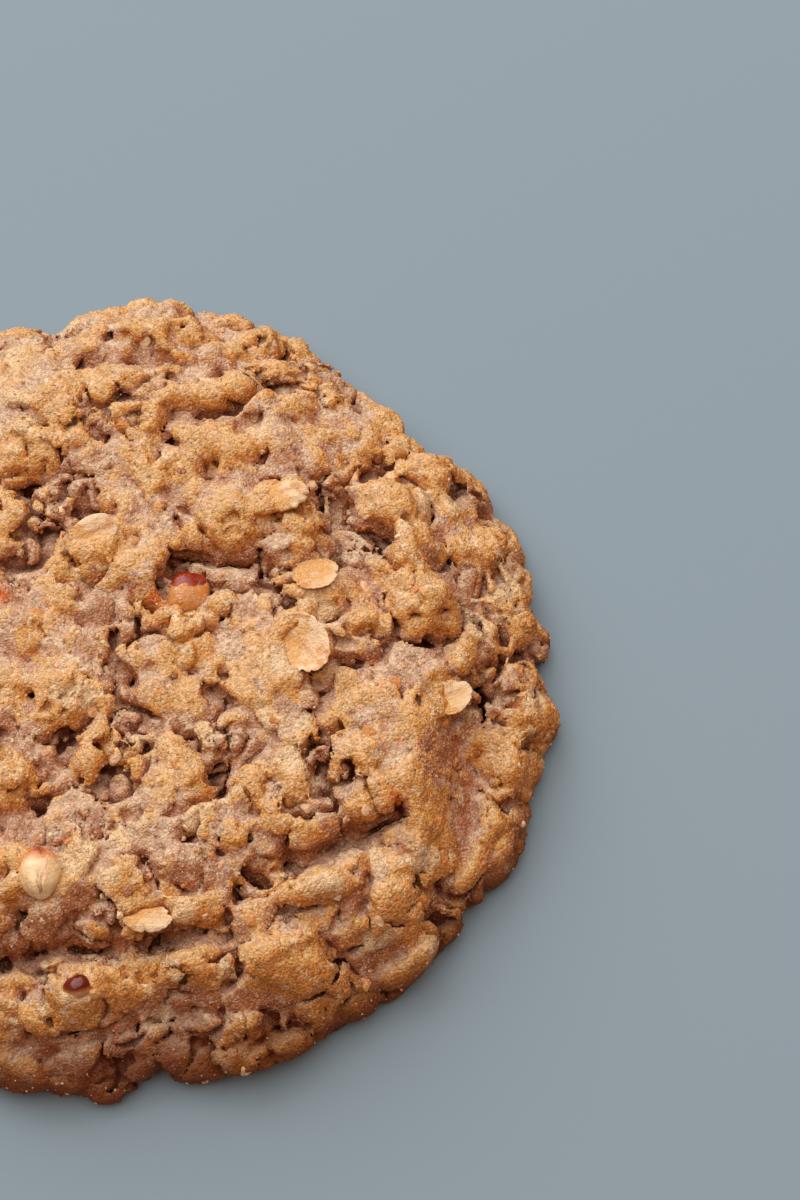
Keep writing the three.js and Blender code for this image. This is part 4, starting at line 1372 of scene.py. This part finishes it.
def dough_material(name):
    """Golden on the lumps and dull in the hollows, with a painted highlight on the sides that face the lamps,
    painted shade on the other sides and in the gaps, bits of oat, sand and sugar.
    """
    material, tree, shader = new_material(name, 0.72)
    place = millimetres(tree)
    sand_here = use_sand(tree, place)
    drift = noise_of(tree, place, 0.16, 3.0, 0.6)
    patches = noise_of(tree, place, 0.55, 3.0, 0.6)
    rough = noise_of(tree, place, 0.9, 4.0, 0.65)
    # Golden on some lumps and dull on others, and browned in patches.
    golden = plus(tree, value_of(tree, "gold"), times(tree, drift, 1.5))
    golden = minus(tree, golden, times(tree, value_of(tree, "sunk"), 0.6))
    colour = mix_of(tree, ramp_of(tree, golden, 1.18, 1.6), MAUVE, GOLDEN)
    toast = times(tree, ramp_of(tree, patches, 0.55, 0.75), ramp_of(tree, golden, 1.1, 1.6))
    colour = mix_of(tree, times(tree, toast, 0.55), colour, BROWNED)
    # Bits of oat in the skin, with bent outlines.
    bent = tree.nodes.new("ShaderNodeVectorMath")
    bent.operation = "ADD"
    tree.links.new(place, bent.inputs[0])
    tree.links.new(wave_of(tree, place, 1.1), bent.inputs[1])
    bit_luck, bit_away = cells_of(tree, bent.outputs[0], 0.6)
    bits = times(tree, ramp_of(tree, bit_luck, 0.82, 0.87), ramp_of(tree, bit_away, 0.5, 0.32))
    bits = times(tree, bits, ramp_of(tree, rough, 0.3, 0.6, 0.2, 0.85))
    bits = math_of(tree, "MAXIMUM", bits, times(tree, value_of(tree, "oat"), 0.6))
    # Painted highlight and shade: pale on the sides that face the lamps, and darker on the sides that face
    # away from them.
    lit_side = plus(tree, value_of(tree, "lit_side"), times(tree, rough, 1.1))
    highlight_share = ramp_of(tree, lit_side, 1.05, 1.6, 0.0, 0.85)
    highlight_share = times(tree, highlight_share, ramp_of(tree, golden, 1.1, 1.6, 1.0, 0.5))
    raised = ramp_of(tree, value_of(tree, "sunk"), 0.2, -0.2, 0.3, 1.0)
    highlight_share = times(tree, highlight_share, raised)
    colour = mix_of(tree, highlight_share, colour, LIT_SIDE_PALE)
    colour = mix_of(tree, ramp_of(tree, lit_side, 1.25, 0.75), colour, SHADED_SIDE_TINT, "MULTIPLY")
    colour = mix_of(tree, bits, colour, OAT_CREAM)
    colour = mix_of(tree, times(tree, value_of(tree, "toasted"), 0.85), colour, TOASTED_ORANGE)
    # Deep brown in the gaps and cracks, partly the dough's own darker colour and partly painted shade where
    # light doesn't reach.
    hollow = ramp_of(tree, value_of(tree, "hollow"), 0.1, 0.65)
    hollow = math_of(tree, "MAXIMUM", hollow, ramp_of(tree, value_of(tree, "sunk"), 0.55, 0.95))
    colour = mix_of(tree, times(tree, hollow, 0.9), colour, GAP_BROWN_AND_SHADE)
    # Sand, sugar and cinnamon all over.
    grey = ramp_of(tree, sand_here["Shade"], 0.1, 0.95, 0.74, 1.22)
    shade = tree.nodes.new("ShaderNodeCombineColor")
    for socket in shade.inputs:
        tree.links.new(grey, socket)
    colour = mix_of(tree, 1.0, colour, shade.outputs[0], "MULTIPLY")
    sugar = times(tree, sand_here["Sugar"], ramp_of(tree, hollow, 0.0, 0.6, 0.6, 0.2))
    colour = mix_of(tree, sugar, colour, SUGAR)
    colour = mix_of(tree, times(tree, sand_here["Speck"], 0.75), colour, CINNAMON)
    # Browned along the foot, and darker towards the front, where the extra darkness is painted shade on the
    # rim that faces away from the lamps.
    apart = tree.nodes.new("ShaderNodeSeparateXYZ")
    tree.links.new(place, apart.inputs[0])
    foot_brown_and_shade = plus(tree, apart.outputs["Z"], times(tree, apart.outputs["Y"], 0.11))
    foot_brown_and_shade = ramp_of(tree, foot_brown_and_shade, 4.2, -1.2)
    colour = mix_of(tree, times(tree, foot_brown_and_shade, 0.85), colour, FOOT_BROWN_AND_SHADE)
    tree.links.new(colour, shader.inputs["Base Color"])
    tree.links.new(ramp_of(tree, sand_here["Sugar"], 0.0, 1.0, 0.8, 0.55), shader.inputs["Roughness"])
    shader.inputs["Specular IOR Level"].default_value = 0.22
    bump(tree, shader, sand_here["Height"], 0.3)
    return material


body.data.shade_smooth()
dough_paint = dough_material("dough")
body.data.materials.append(dough_paint)
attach(body, "root")
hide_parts("dough")

# %% [markdown]
# ## Crumbs, grains and flecks
#
# Dough that is torn open by oats as it bakes is covered with crumbs, down to grains of sugar. Each kind is
# strewn over the dough by the same rule, as a small tree of Geometry Nodes: points at random on the faces
# that aren't underneath, a rough little body on each, sunk partly in and turned at random, and then every
# body bent a little by noise, so that no two are alike. The result is worked into a plain mesh.

# %% The strewing rule
BARE_FOOT = 1.2  # nothing is strewn below this height
THICKEST = 6e6  # bodies to a square metre, before those too close together are left out
SMALLER = 1.8  # the power that makes small bodies more common than large ones
ANYWHERE = -9.0  # less hollow than any place on the dough
MOST_LEAN = 0.25  # of a body that lies flat, in radians
CRYSTAL_SIDE = 1.6  # where the other bodies have a radius of 1
# Length, width and height of the slimmest and the fullest body, as shares of its size.
SLIMMEST, FULLEST = (0.75, 0.55, 0.7), (1.0, 0.95, 1.0)
STREWN = [  # name on the rule, kind of socket
    ("Apart", "Float"), ("Seed", "Int"), ("Smallest", "Float"), ("Largest", "Float"), ("Flat", "Float"),
    ("Sunk", "Float"), ("Uneven", "Float"), ("Grain", "Float"), ("Hollow", "Float"), ("Finish", "Material")]


def strewing_rule(name, shape, lying):
    """A tree that covers a mesh with rough bodies (crystals, crumbs or small grains), lying flat or turned
    anyhow."""
    tree = bpy.data.node_groups.new(name, "GeometryNodeTree")
    tree.interface.new_socket("Geometry", in_out="INPUT", socket_type="NodeSocketGeometry")
    for label, kind in STREWN:
        tree.interface.new_socket(label, in_out="INPUT", socket_type="NodeSocket" + kind)
    tree.interface.new_socket("Geometry", in_out="OUTPUT", socket_type="NodeSocketGeometry")
    nodes, link = tree.nodes, tree.links.new
    into, out = nodes.new("NodeGroupInput"), nodes.new("NodeGroupOutput")
    given = into.outputs

    def vector(operation, a, b=None, scale=None):
        node = nodes.new("ShaderNodeVectorMath")
        node.operation = operation
        put(tree, node.inputs[0], a)
        if b is not None:
            put(tree, node.inputs[1], b)
        if scale is not None:
            put(tree, node.inputs["Scale"], scale)
        return node.outputs[0]

    def named(label, kind="FLOAT"):
        node = nodes.new("GeometryNodeInputNamedAttribute")
        node.data_type = kind
        node.inputs["Name"].default_value = label
        return node.outputs["Attribute"]

    def luck(kind, low, high, seed):
        node = nodes.new("FunctionNodeRandomValue")
        node.data_type = kind
        first_input, result = (0, 0) if kind == "FLOAT_VECTOR" else (2, 1)
        put(tree, node.inputs[first_input], low)
        put(tree, node.inputs[first_input + 1], high)
        put(tree, node.inputs["Seed"], seed)
        return node.outputs[result]

    # Where the bodies are.
    position = nodes.new("GeometryNodeInputPosition")
    height = nodes.new("ShaderNodeSeparateXYZ")
    link(position.outputs[0], height.inputs[0])
    above = math_of(tree, "GREATER_THAN", height.outputs["Z"], BARE_FOOT * MM)
    hollow = math_of(tree, "GREATER_THAN", named("hollow"), given["Hollow"])
    spread = nodes.new("GeometryNodeDistributePointsOnFaces")
    spread.distribute_method = "POISSON"
    link(given["Geometry"], spread.inputs["Mesh"])
    link(times(tree, above, hollow), spread.inputs["Selection"])
    link(given["Apart"], spread.inputs["Distance Min"])
    spread.inputs["Density Max"].default_value = THICKEST
    link(given["Seed"], spread.inputs["Seed"])

    # How large they are, and how deep they sit.
    size = luck("FLOAT", 0.0, 1.0, 1)
    size = math_of(tree, "POWER", size, SMALLER)
    span = minus(tree, given["Largest"], given["Smallest"])
    size = plus(tree, times(tree, size, span), given["Smallest"])
    down = times(tree, times(tree, size, given["Sunk"]), -1.0)
    sink = nodes.new("GeometryNodeSetPosition")
    link(spread.outputs["Points"], sink.inputs["Geometry"])
    link(vector("SCALE", spread.outputs["Normal"], scale=down), sink.inputs["Offset"])

    # Their shape, and how they are turned.
    if shape == "crystal":
        blank = nodes.new("GeometryNodeMeshCube")
        blank.inputs["Size"].default_value = (CRYSTAL_SIDE,) * 3
    else:
        blank = nodes.new("GeometryNodeMeshIcoSphere")
        blank.inputs["Radius"].default_value = 1.0
        blank.inputs["Subdivisions"].default_value = 2 if shape == "crumb" else 1
    flatten = nodes.new("ShaderNodeCombineXYZ")
    flatten.inputs["X"].default_value = 1.0
    flatten.inputs["Y"].default_value = 1.0
    link(given["Flat"], flatten.inputs["Z"])
    sides = luck("FLOAT_VECTOR", SLIMMEST, FULLEST, 2)
    sides = vector("MULTIPLY", sides, flatten.outputs[0])
    turn = nodes.new("FunctionNodeEulerToRotation")
    full = 2 * math.pi
    least, most = (0.0, 0.0, 0.0), (full, full, full)
    if lying:
        least, most = (-MOST_LEAN, -MOST_LEAN, 0.0), (MOST_LEAN, MOST_LEAN, full)
    link(luck("FLOAT_VECTOR", least, most, 3), turn.inputs[0])
    upright = nodes.new("FunctionNodeAlignRotationToVector")
    upright.axis = "Z"
    link(named("broad", "FLOAT_VECTOR"), upright.inputs["Vector"])
    turned = nodes.new("FunctionNodeRotateRotation")
    turned.rotation_space = "LOCAL"
    link(upright.outputs[0], turned.inputs[0])
    link(turn.outputs[0], turned.inputs[1])
    place = nodes.new("GeometryNodeInstanceOnPoints")
    link(sink.outputs[0], place.inputs["Points"])
    link(blank.outputs["Mesh"], place.inputs["Instance"])
    link(turned.outputs[0], place.inputs["Rotation"])
    link(vector("SCALE", sides, scale=size), place.inputs["Scale"])

    # A tint by chance for each, and a bend by noise for every point.
    tint = nodes.new("GeometryNodeStoreNamedAttribute")
    tint.domain = "INSTANCE"
    tint.inputs["Name"].default_value = "gold"
    link(place.outputs[0], tint.inputs["Geometry"])
    link(luck("FLOAT", 0.1, 1.0, 4), tint.inputs["Value"])
    real = nodes.new("GeometryNodeRealizeInstances")
    link(tint.outputs[0], real.inputs[0])

    wobble = nodes.new("ShaderNodeTexNoise")
    link(vector("SCALE", position.outputs[0], scale=given["Grain"]), wobble.inputs["Vector"])
    wobble.inputs["Scale"].default_value = 1.0
    wobble.inputs["Detail"].default_value = 1.0
    push = vector("SUBTRACT", wobble.outputs["Color"], (0.5, 0.5, 0.5))
    bend = nodes.new("GeometryNodeSetPosition")
    link(real.outputs[0], bend.inputs["Geometry"])
    link(vector("SCALE", push, scale=given["Uneven"]), bend.inputs["Offset"])
    finish = nodes.new("GeometryNodeSetMaterial")
    link(bend.outputs[0], finish.inputs["Geometry"])
    link(given["Finish"], finish.inputs["Material"])
    link(finish.outputs[0], out.inputs[0])
    return tree


def strew(name, rule, apart, seed, smallest, largest, flat, sunk, uneven, grain, hollow, finish):
    """A piece of strewn bodies, only where the dough is hollow enough. All lengths are in mm."""
    thing = bpy.data.objects.new(name, body.data.copy())
    bpy.context.scene.collection.objects.link(thing)
    nodes = thing.modifiers.new("strew", "NODES")
    nodes.node_group = rule
    sockets = {item.name: item.identifier for item in rule.interface.items_tree if item.in_out == "INPUT"}
    values = {"Apart": apart * MM, "Seed": seed, "Smallest": smallest * MM, "Largest": largest * MM,
              "Flat": flat, "Sunk": sunk, "Uneven": uneven * MM, "Grain": 1 / (grain * MM), "Hollow": hollow,
              "Finish": finish}
    for label, value in values.items():
        nodes[sockets[label]] = value
    settled(thing)
    print(name, "has", sum(len(p.vertices) - 2 for p in thing.data.polygons), "triangles")
    return thing


crumb_rule = strewing_rule("crumbs, turned anyhow", "crumb", False)
grain_rule = strewing_rule("grains, turned anyhow", "grain", False)
chip_rule = strewing_rule("chips, lying flat", "crumb", True)
crystal_rule = strewing_rule("crystals, turned anyhow", "crystal", False)

# %% Crumbs and grains of dough
CRUMB_FLAT = 0.85
for name, rule, apart, seed, smallest, largest, sunk, uneven, grain, hollow in [
    ("dough_crumbs", crumb_rule, 1.75, 3, 0.4, 1.2, 0.45, 0.55, 0.8, 0.0),
    ("dough_fine_crumbs", grain_rule, 1.08, 5, 0.22, 0.5, 0.3, 0.25, 0.4, ANYWHERE),
    ("dough_grains", grain_rule, 1.08, 7, 0.12, 0.27, 0.2, 0.12, 0.25, ANYWHERE),
]:
    crumbs = strew(
        name, rule, apart, seed, smallest, largest, CRUMB_FLAT, sunk, uneven, grain, hollow, dough_paint)
    crumbs.data.shade_smooth()
    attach(crumbs, "root")

# %% [markdown]
# ## Oat flakes
#
# A rolled oat is a groat pressed flat: an uneven oval with a crease down its middle, a dished face, and a
# thin rim that cracks and breaks. It is pale, and golden where the crease and the toasted end are. The six
# large ones lie where their solids lie. Their mesh is a polar one, with the same number of points on each
# ring from the middle to the rim, once for the upper and once for the lower face.


# %% Shape of a flake
RINGS = 18
SPOKES = 84


def wavy(numbers, bearings, waves, size):
    """A closed uneven line round the flake, from a few waves by chance."""
    line = np.zeros_like(bearings)
    for wave in waves:
        tall, late = next(numbers) - 0.5, 2 * math.pi * next(numbers)
        line += size / wave**0.5 * tall * np.cos(wave * bearings + late)
    return line


def between_rings(rings):
    """Squares between each ring of point numbers and the next."""
    onward = np.roll(rings, -1, 1)
    return np.stack([rings[:-1], rings[1:], onward[1:], onward[:-1]], -1).reshape(-1, 4)


def cap(centre, ring, flipped=False):
    """Triangles from a ring to the point in its middle."""
    return [(centre, b, a) if flipped else (centre, a, b) for a, b in zip(ring, np.roll(ring, -1))]


def smooth_piece(name, places, faces):
    """A smooth object from points in mm and faces of three or four corners."""
    mesh = bpy.data.meshes.new(name)
    mesh.from_pydata([tuple(v) for v in places * MM], [], faces)
    mesh.shade_smooth()
    thing = bpy.data.objects.new(name, mesh)
    bpy.context.scene.collection.objects.link(thing)
    return thing


def flake(name, node, seed, dish, thick, splits):
    """A dished flake with a creased face and a split, uneven rim, where its solid lies."""
    middle, own, size = lies[node]
    numbers = chance(seed)
    bearings = np.linspace(0, 2 * math.pi, SPOKES, endpoint=False)
    # The outline, with its splits.
    edge = 1 + wavy(numbers, bearings, (2, 3, 4, 6, 13, 19, 31), 0.17)
    for _ in range(splits):
        at, deep, wide = 2 * math.pi * next(numbers), 0.05 + 0.15 * next(numbers), 0.04 + 0.1 * next(numbers)
        apart = (bearings - at + math.pi) % (2 * math.pi) - math.pi
        edge -= deep * np.exp(-((apart / wide) ** 2))
    edge = edge / edge.max()
    # The height of the face: dished, lifted here and there along the rim, creased and faintly ribbed.
    lift = wavy(numbers, bearings, (1, 2, 3, 5, 9), 0.5)
    t = (np.arange(1, RINGS + 1) / RINGS)[:, None]
    reach = t * (1 + (edge - 1) * t**3)
    x = size[0] / 2 * reach * np.cos(bearings)
    y = size[1] / 2 * reach * np.sin(bearings)
    crease = np.exp(-((y / (0.11 * size[1])) ** 2)) * np.clip(1.15 - t, 0, 1)
    face = dish * (t**DISH_POWER - 0.5) + lift * t**3 * 0.5 - 0.16 * crease
    face = face + 0.04 * np.sin(9 * y / size[1] + 3 * x / size[0]) + 0.03 * np.sin(23 * y / size[1])
    way, share = dusted_way(node)
    face = face - SINK * 2 * (x / size[0] * share[0] + y / size[1] * share[1])
    # An upper and a lower face, closed by a ring of squares along the rim.
    depth = thick * (1 - 0.6 * t**3)
    top = np.stack([x, y, face + depth / 2], -1).reshape(-1, 3)
    low = np.stack([x, y, face - depth / 2], -1).reshape(-1, 3)
    low[-SPOKES:, :2] *= 0.97
    centre = face[0].mean()
    local = np.vstack([top, low, [[0, 0, centre + thick / 2], [0, 0, centre - thick / 2]]])
    places = middle + local @ own
    count = RINGS * SPOKES
    rings = np.arange(count).reshape(RINGS, SPOKES)
    rim, onward = rings[-1], np.roll(rings[-1], -1)
    squares = between_rings(rings)
    side = np.stack([rim, rim + count, onward + count, onward], -1)
    faces = np.vstack([squares, squares[:, ::-1] + count, side])
    caps = cap(2 * count, rings[0]) + cap(2 * count + 1, rings[0] + count, flipped=True)
    thing = smooth_piece(name, places, [tuple(f) for f in faces.tolist()] + caps)
    mesh = thing.data
    keep(mesh, "across", np.concatenate([np.repeat(t[:, 0], SPOKES)] * 2 + [[0, 0]]))
    keep(mesh, "crease", np.concatenate([crease.ravel()] * 2 + [[1, 1]]))
    keep(mesh, "toasted", local[:, 0] / size[0] + 0.5)
    keep(mesh, "beside", local[:, 1] / size[1] + 0.5)
    keep(mesh, "dusted", (places - middle) @ way * 2 / size[0])
    return thing


# %% Oat finish
HUSK_WHITE = linear(250, 222, 184)
HUSK_CREAM = linear(222, 186, 132)
HUSK_GOLD = linear(208, 138, 70)
HUSK_BROWN = linear(156, 88, 38)


def oat_material(name):
    """Pale along the rim, golden in the crease and at the toasted end, and sandy on the dusted side."""
    material, tree, shader = new_material(name, 0.5)
    place = millimetres(tree)
    sand_here = use_sand(tree, place)
    cloud = noise_of(tree, place, 0.7, 3.0, 0.6)
    along = tree.nodes.new("ShaderNodeCombineXYZ")
    tree.links.new(times(tree, value_of(tree, "toasted"), 2.5), along.inputs["X"])
    tree.links.new(times(tree, value_of(tree, "beside"), 16.0), along.inputs["Y"])
    fibre = noise_of(tree, along.outputs[0], 1.0, 4.0, 0.6)
    white = value_of(tree, "white")
    pale = times(tree, ramp_of(tree, value_of(tree, "across"), 0.5, 0.9, 0.3, 1.0), white)
    pale = plus(tree, pale, times(tree, white, 0.4), clamp=True)
    colour = mix_of(tree, pale, HUSK_CREAM, HUSK_WHITE)
    colour = mix_of(tree, ramp_of(tree, fibre, 0.45, 0.75, 0.0, 0.5), colour, HUSK_GOLD)
    golden = plus(tree, value_of(tree, "toasted"), times(tree, cloud, 1.4))
    golden = minus(tree, golden, times(tree, white, 0.5))
    colour = mix_of(tree, ramp_of(tree, golden, 0.9, 1.4), colour, HUSK_GOLD)
    crease = times(tree, value_of(tree, "crease"), ramp_of(tree, fibre, 0.35, 0.65, 0.3, 0.9))
    colour = mix_of(tree, crease, colour, HUSK_GOLD)
    spots = times(tree, ramp_of(tree, cloud, 0.62, 0.74), 0.5)
    colour = mix_of(tree, spots, colour, HUSK_BROWN)
    colour = mix_of(tree, times(tree, sand_here["Speck"], 0.5), colour, CINNAMON)
    dust = plus(tree, value_of(tree, "dusted"), times(tree, cloud, 2.2))
    dust = ramp_of(tree, dust, 0.85, 1.35)
    colour = mix_of(tree, dust, colour, GOLDEN)
    sugar = times(tree, sand_here["Sugar"], ramp_of(tree, dust, 0.0, 1.0, 0.5, 0.65))
    colour = mix_of(tree, sugar, colour, SUGAR)
    tree.links.new(colour, shader.inputs["Base Color"])
    sandy = times(tree, sand_here["Height"], ramp_of(tree, dust, 0.0, 1.0, 0.8, 1.4))
    relief = plus(tree, times(tree, fibre, 0.5), sandy)
    bump(tree, shader, relief, 0.18)
    return material


oat_paint = oat_material("oat")
for node, (seed, dish, thick, splits, _, white) in FLAKES.items():
    thing = flake(node + "_fine", node, seed, dish, thick, splits)
    keep(thing.data, "white", np.full(len(thing.data.vertices), white))
    thing.data.materials.append(oat_paint)
    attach(thing, "root")
    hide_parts(node)

# %% [markdown]
# ## Nuts
#
# One peanut still has its skin on its upper part, which is glossy, taut and red-brown and ends in a torn
# edge. One half lies with its round side up, pale and glossy with oil, and its cleft shows as brown lines.
# The third is a dark chip. Each is a round body of rings and spokes, swollen and dented by a few waves.


# %% Shape of a nut
NUT_RINGS = 30
DENTS = 7
LINE = 0.036  # half the width of a brown line of the cleft
FLAT_UNDER = 0.42  # the lowest that a nut goes below its middle, as a share of its height


def nut(name, node, seed, unevenness, cleft, share, down):
    """A dented round body where its solid lies, with the brown lines of a cleft on its upper front."""
    middle, own, size = lies[node]
    middle, size = middle - (0, 0, down), size * share
    numbers = chance(seed)
    bearings = np.linspace(0, 2 * math.pi, SPOKES, endpoint=False)
    tilt = (np.arange(1, NUT_RINGS) / NUT_RINGS * math.pi)[:, None]
    unit = np.stack([np.cos(tilt) + 0 * bearings, np.sin(tilt) * np.cos(bearings),
                     np.sin(tilt) * np.sin(bearings)], -1).reshape(-1, 3)
    unit = np.vstack([unit, [[1, 0, 0], [-1, 0, 0]]])
    swell = np.ones(len(unit))
    for _ in range(DENTS):
        wave = np.array([next(numbers) - 0.5 for _ in range(3)]) * 9
        swell += unevenness * (next(numbers) - 0.5) * np.cos(unit @ wave + 6 * next(numbers))
    # Two lines that come together towards the front of the nut.
    facing = unit @ own
    fan = 0.2 + 0.14 * facing[:, 1]
    groove = 0
    for side in (-1, 0.15):
        beside = unit[:, 1] - side * fan - 0.03 * np.sin(9 * unit[:, 0])
        groove = groove + np.exp(-((beside / LINE) ** 2))
    groove *= np.clip(unit[:, 2] * 2, 0, 1) * np.clip(0.1 - 3 * facing[:, 1], 0, 1)
    swell -= cleft * groove
    local = unit * swell[:, None] * size / 2
    local[:, 2] = np.maximum(local[:, 2], -size[2] * FLAT_UNDER)
    rings = np.arange((NUT_RINGS - 1) * SPOKES).reshape(NUT_RINGS - 1, SPOKES)
    caps = cap(len(unit) - 2, rings[0]) + cap(len(unit) - 1, rings[-1], flipped=True)
    faces = [tuple(f) for f in between_rings(rings).tolist()] + caps
    thing = smooth_piece(name, middle + local @ own, faces)
    mesh = thing.data
    keep(mesh, "back", facing[:, 1])
    keep(mesh, "upward", facing[:, 2])
    keep(mesh, "groove", groove)
    return thing


# %% Nut finish
NUT_TAN = linear(222, 134, 46)
NUT_PALE = linear(248, 216, 166)
NUT_BLUSH = linear(206, 104, 40)
NUT_SKIN = linear(112, 22, 6)
NUT_SKIN_LIGHT = linear(190, 58, 14)
DARK_SKIN = linear(104, 26, 8)
SKIN_ORANGE = linear(224, 128, 44)


def nut_material(name, flesh, skin_from, skin_to, tilt, dusting, lightest=NUT_SKIN_LIGHT):
    """Flesh, with skin where the direction towards the back and up passes the given limits."""
    material, tree, shader = new_material(name, 0.4)
    place = millimetres(tree)
    sand_here = use_sand(tree, place)
    cloud = noise_of(tree, place, 0.6, 3.0, 0.6)
    fine = noise_of(tree, place, 2.4, 3.0, 0.6)
    patches = noise_of(tree, place, 0.9, 3.0, 0.6)
    side = plus(tree, value_of(tree, "back"), times(tree, value_of(tree, "upward"), tilt))
    side = plus(tree, side, times(tree, minus(tree, cloud, 0.5), 0.5))
    skin = ramp_of(tree, side, skin_from, skin_to)
    flesh_colour = mix_of(tree, ramp_of(tree, cloud, 0.4, 0.7, 0.0, 0.4), flesh, HUSK_CREAM)
    blush = plus(tree, value_of(tree, "back"), times(tree, fine, 0.6))
    flesh_colour = mix_of(tree, ramp_of(tree, blush, 0.55, 1.05, 0.0, 0.8), flesh_colour, NUT_BLUSH)
    flesh_colour = mix_of(tree, times(tree, value_of(tree, "groove"), 0.8), flesh_colour, HUSK_BROWN)
    skin_colour = mix_of(tree, ramp_of(tree, fine, 0.35, 0.75), NUT_SKIN, lightest)
    dust = times(tree, ramp_of(tree, patches, 0.42, 0.6), minus(tree, dusting, skin))
    flesh_colour = mix_of(tree, times(tree, dust, 0.6), flesh_colour, GOLDEN)
    flesh_colour = mix_of(tree, times(tree, sand_here["Sugar"], dust), flesh_colour, SUGAR)
    colour = mix_of(tree, skin, flesh_colour, skin_colour)
    tree.links.new(colour, shader.inputs["Base Color"])
    tree.links.new(ramp_of(tree, skin, 0.0, 1.0, 0.42, 0.16), shader.inputs["Roughness"])
    shader.inputs["Subsurface Weight"].default_value = 0.12
    shader.inputs["Subsurface Radius"].default_value = (1.0, 0.5, 0.25)
    shader.inputs["Subsurface Scale"].default_value = 0.8 * MM
    tree.links.new(ramp_of(tree, skin, 0.0, 1.0, 0.8, 0.25), shader.inputs["Coat Weight"])
    relief = plus(tree, times(tree, skin, 0.7), times(tree, fine, 0.5))
    sandy = plus(tree, times(tree, dust, 1.2), 0.12)
    relief = plus(tree, relief, times(tree, sand_here["Height"], sandy))
    bump(tree, shader, relief, 0.16)
    return material


for node, seed, unevenness, cleft, share, down, paint in [
    ("nut_skinned", 301, 0.10, 0.0, 0.93, 0.2, nut_material("skinned nut", NUT_TAN, 0.3, 0.42, 0.35, 0.8)),
    ("nut_half", 302, 0.09, 0.12, 0.82, 0.3, nut_material("half nut", NUT_PALE, 0.92, 1.1, 0.3, 0.6)),
    ("nut_chip", 303, 0.2, 0.0, 0.95, 0.0, nut_material("nut chip", NUT_TAN, -0.3, 0.4, 0.8, 0.7, DARK_SKIN)),
]:
    thing = nut(node + "_fine", node, seed, unevenness, cleft, share, down)
    thing.data.materials.append(paint)
    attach(thing, "root")
    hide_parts(node)

# %% [markdown]
# ## What lies loose on top
#
# Small chips and crumbs of oat, crystals of sugar and a few bits of nut skin are strewn by the same rule as
# the crumbs of dough. A chip lies flat. Each kind has a plain finish of its own.

# %% Finish of the chips of oat
chip_paint, tree, shader = new_material("chips", 0.6)
place = millimetres(tree)
sand_here = use_sand(tree, place)
shade = noise_of(tree, place, 0.9, 3.0)
golden = plus(tree, value_of(tree, "gold"), shade)
colour = mix_of(tree, ramp_of(tree, golden, 0.5, 1.3), HUSK_WHITE, HUSK_GOLD)
colour = mix_of(tree, times(tree, sand_here["Sugar"], 0.4), colour, SUGAR)
tree.links.new(colour, shader.inputs["Base Color"])
bump(tree, shader, sand_here["Height"], 0.12)

# %% Finish of the sugar crystals
sugar_paint, tree, shader = new_material("sugar", 0.18)
shader.inputs["Base Color"].default_value = SUGAR
shader.inputs["Transmission Weight"].default_value = 0.35

# %% Finish of the bits of nut skin
skin_paint, tree, shader = new_material("bits of skin", 0.35)
shade = noise_of(tree, millimetres(tree), 1.4, 2.0)
colour = mix_of(tree, ramp_of(tree, shade, 0.35, 0.65), NUT_SKIN_LIGHT, SKIN_ORANGE)
tree.links.new(colour, shader.inputs["Base Color"])

# %% Chips and crumbs of oat, sugar crystals and bits of nut skin
for name, rule, apart, seed, smallest, largest, flat, sunk, uneven, grain, hollow, finish, slot in [
    ("oat_chips", chip_rule, 5.2, 11, 0.35, 1.1, 0.4, 0.15, 0.9, 0.8, ANYWHERE, chip_paint, "oat"),
    ("oat_crumbs", grain_rule, 2.8, 13, 0.18, 0.45, 0.5, 0.2, 0.3, 0.4, ANYWHERE, chip_paint, "oat"),
    ("sugar_crystals", crystal_rule, 1.5, 15, 0.08, 0.17, 1.0, 0.0, 0.05, 0.3, ANYWHERE, sugar_paint,
     "dough"),
    ("skin_bits", chip_rule, 15.0, 17, 0.3, 0.8, 0.35, 0.1, 0.6, 0.8, 0.1, skin_paint, "nut"),
]:
    thing = strew(name, rule, apart, seed, smallest, largest, flat, sunk, uneven, grain, hollow, finish)
    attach(thing, "root")
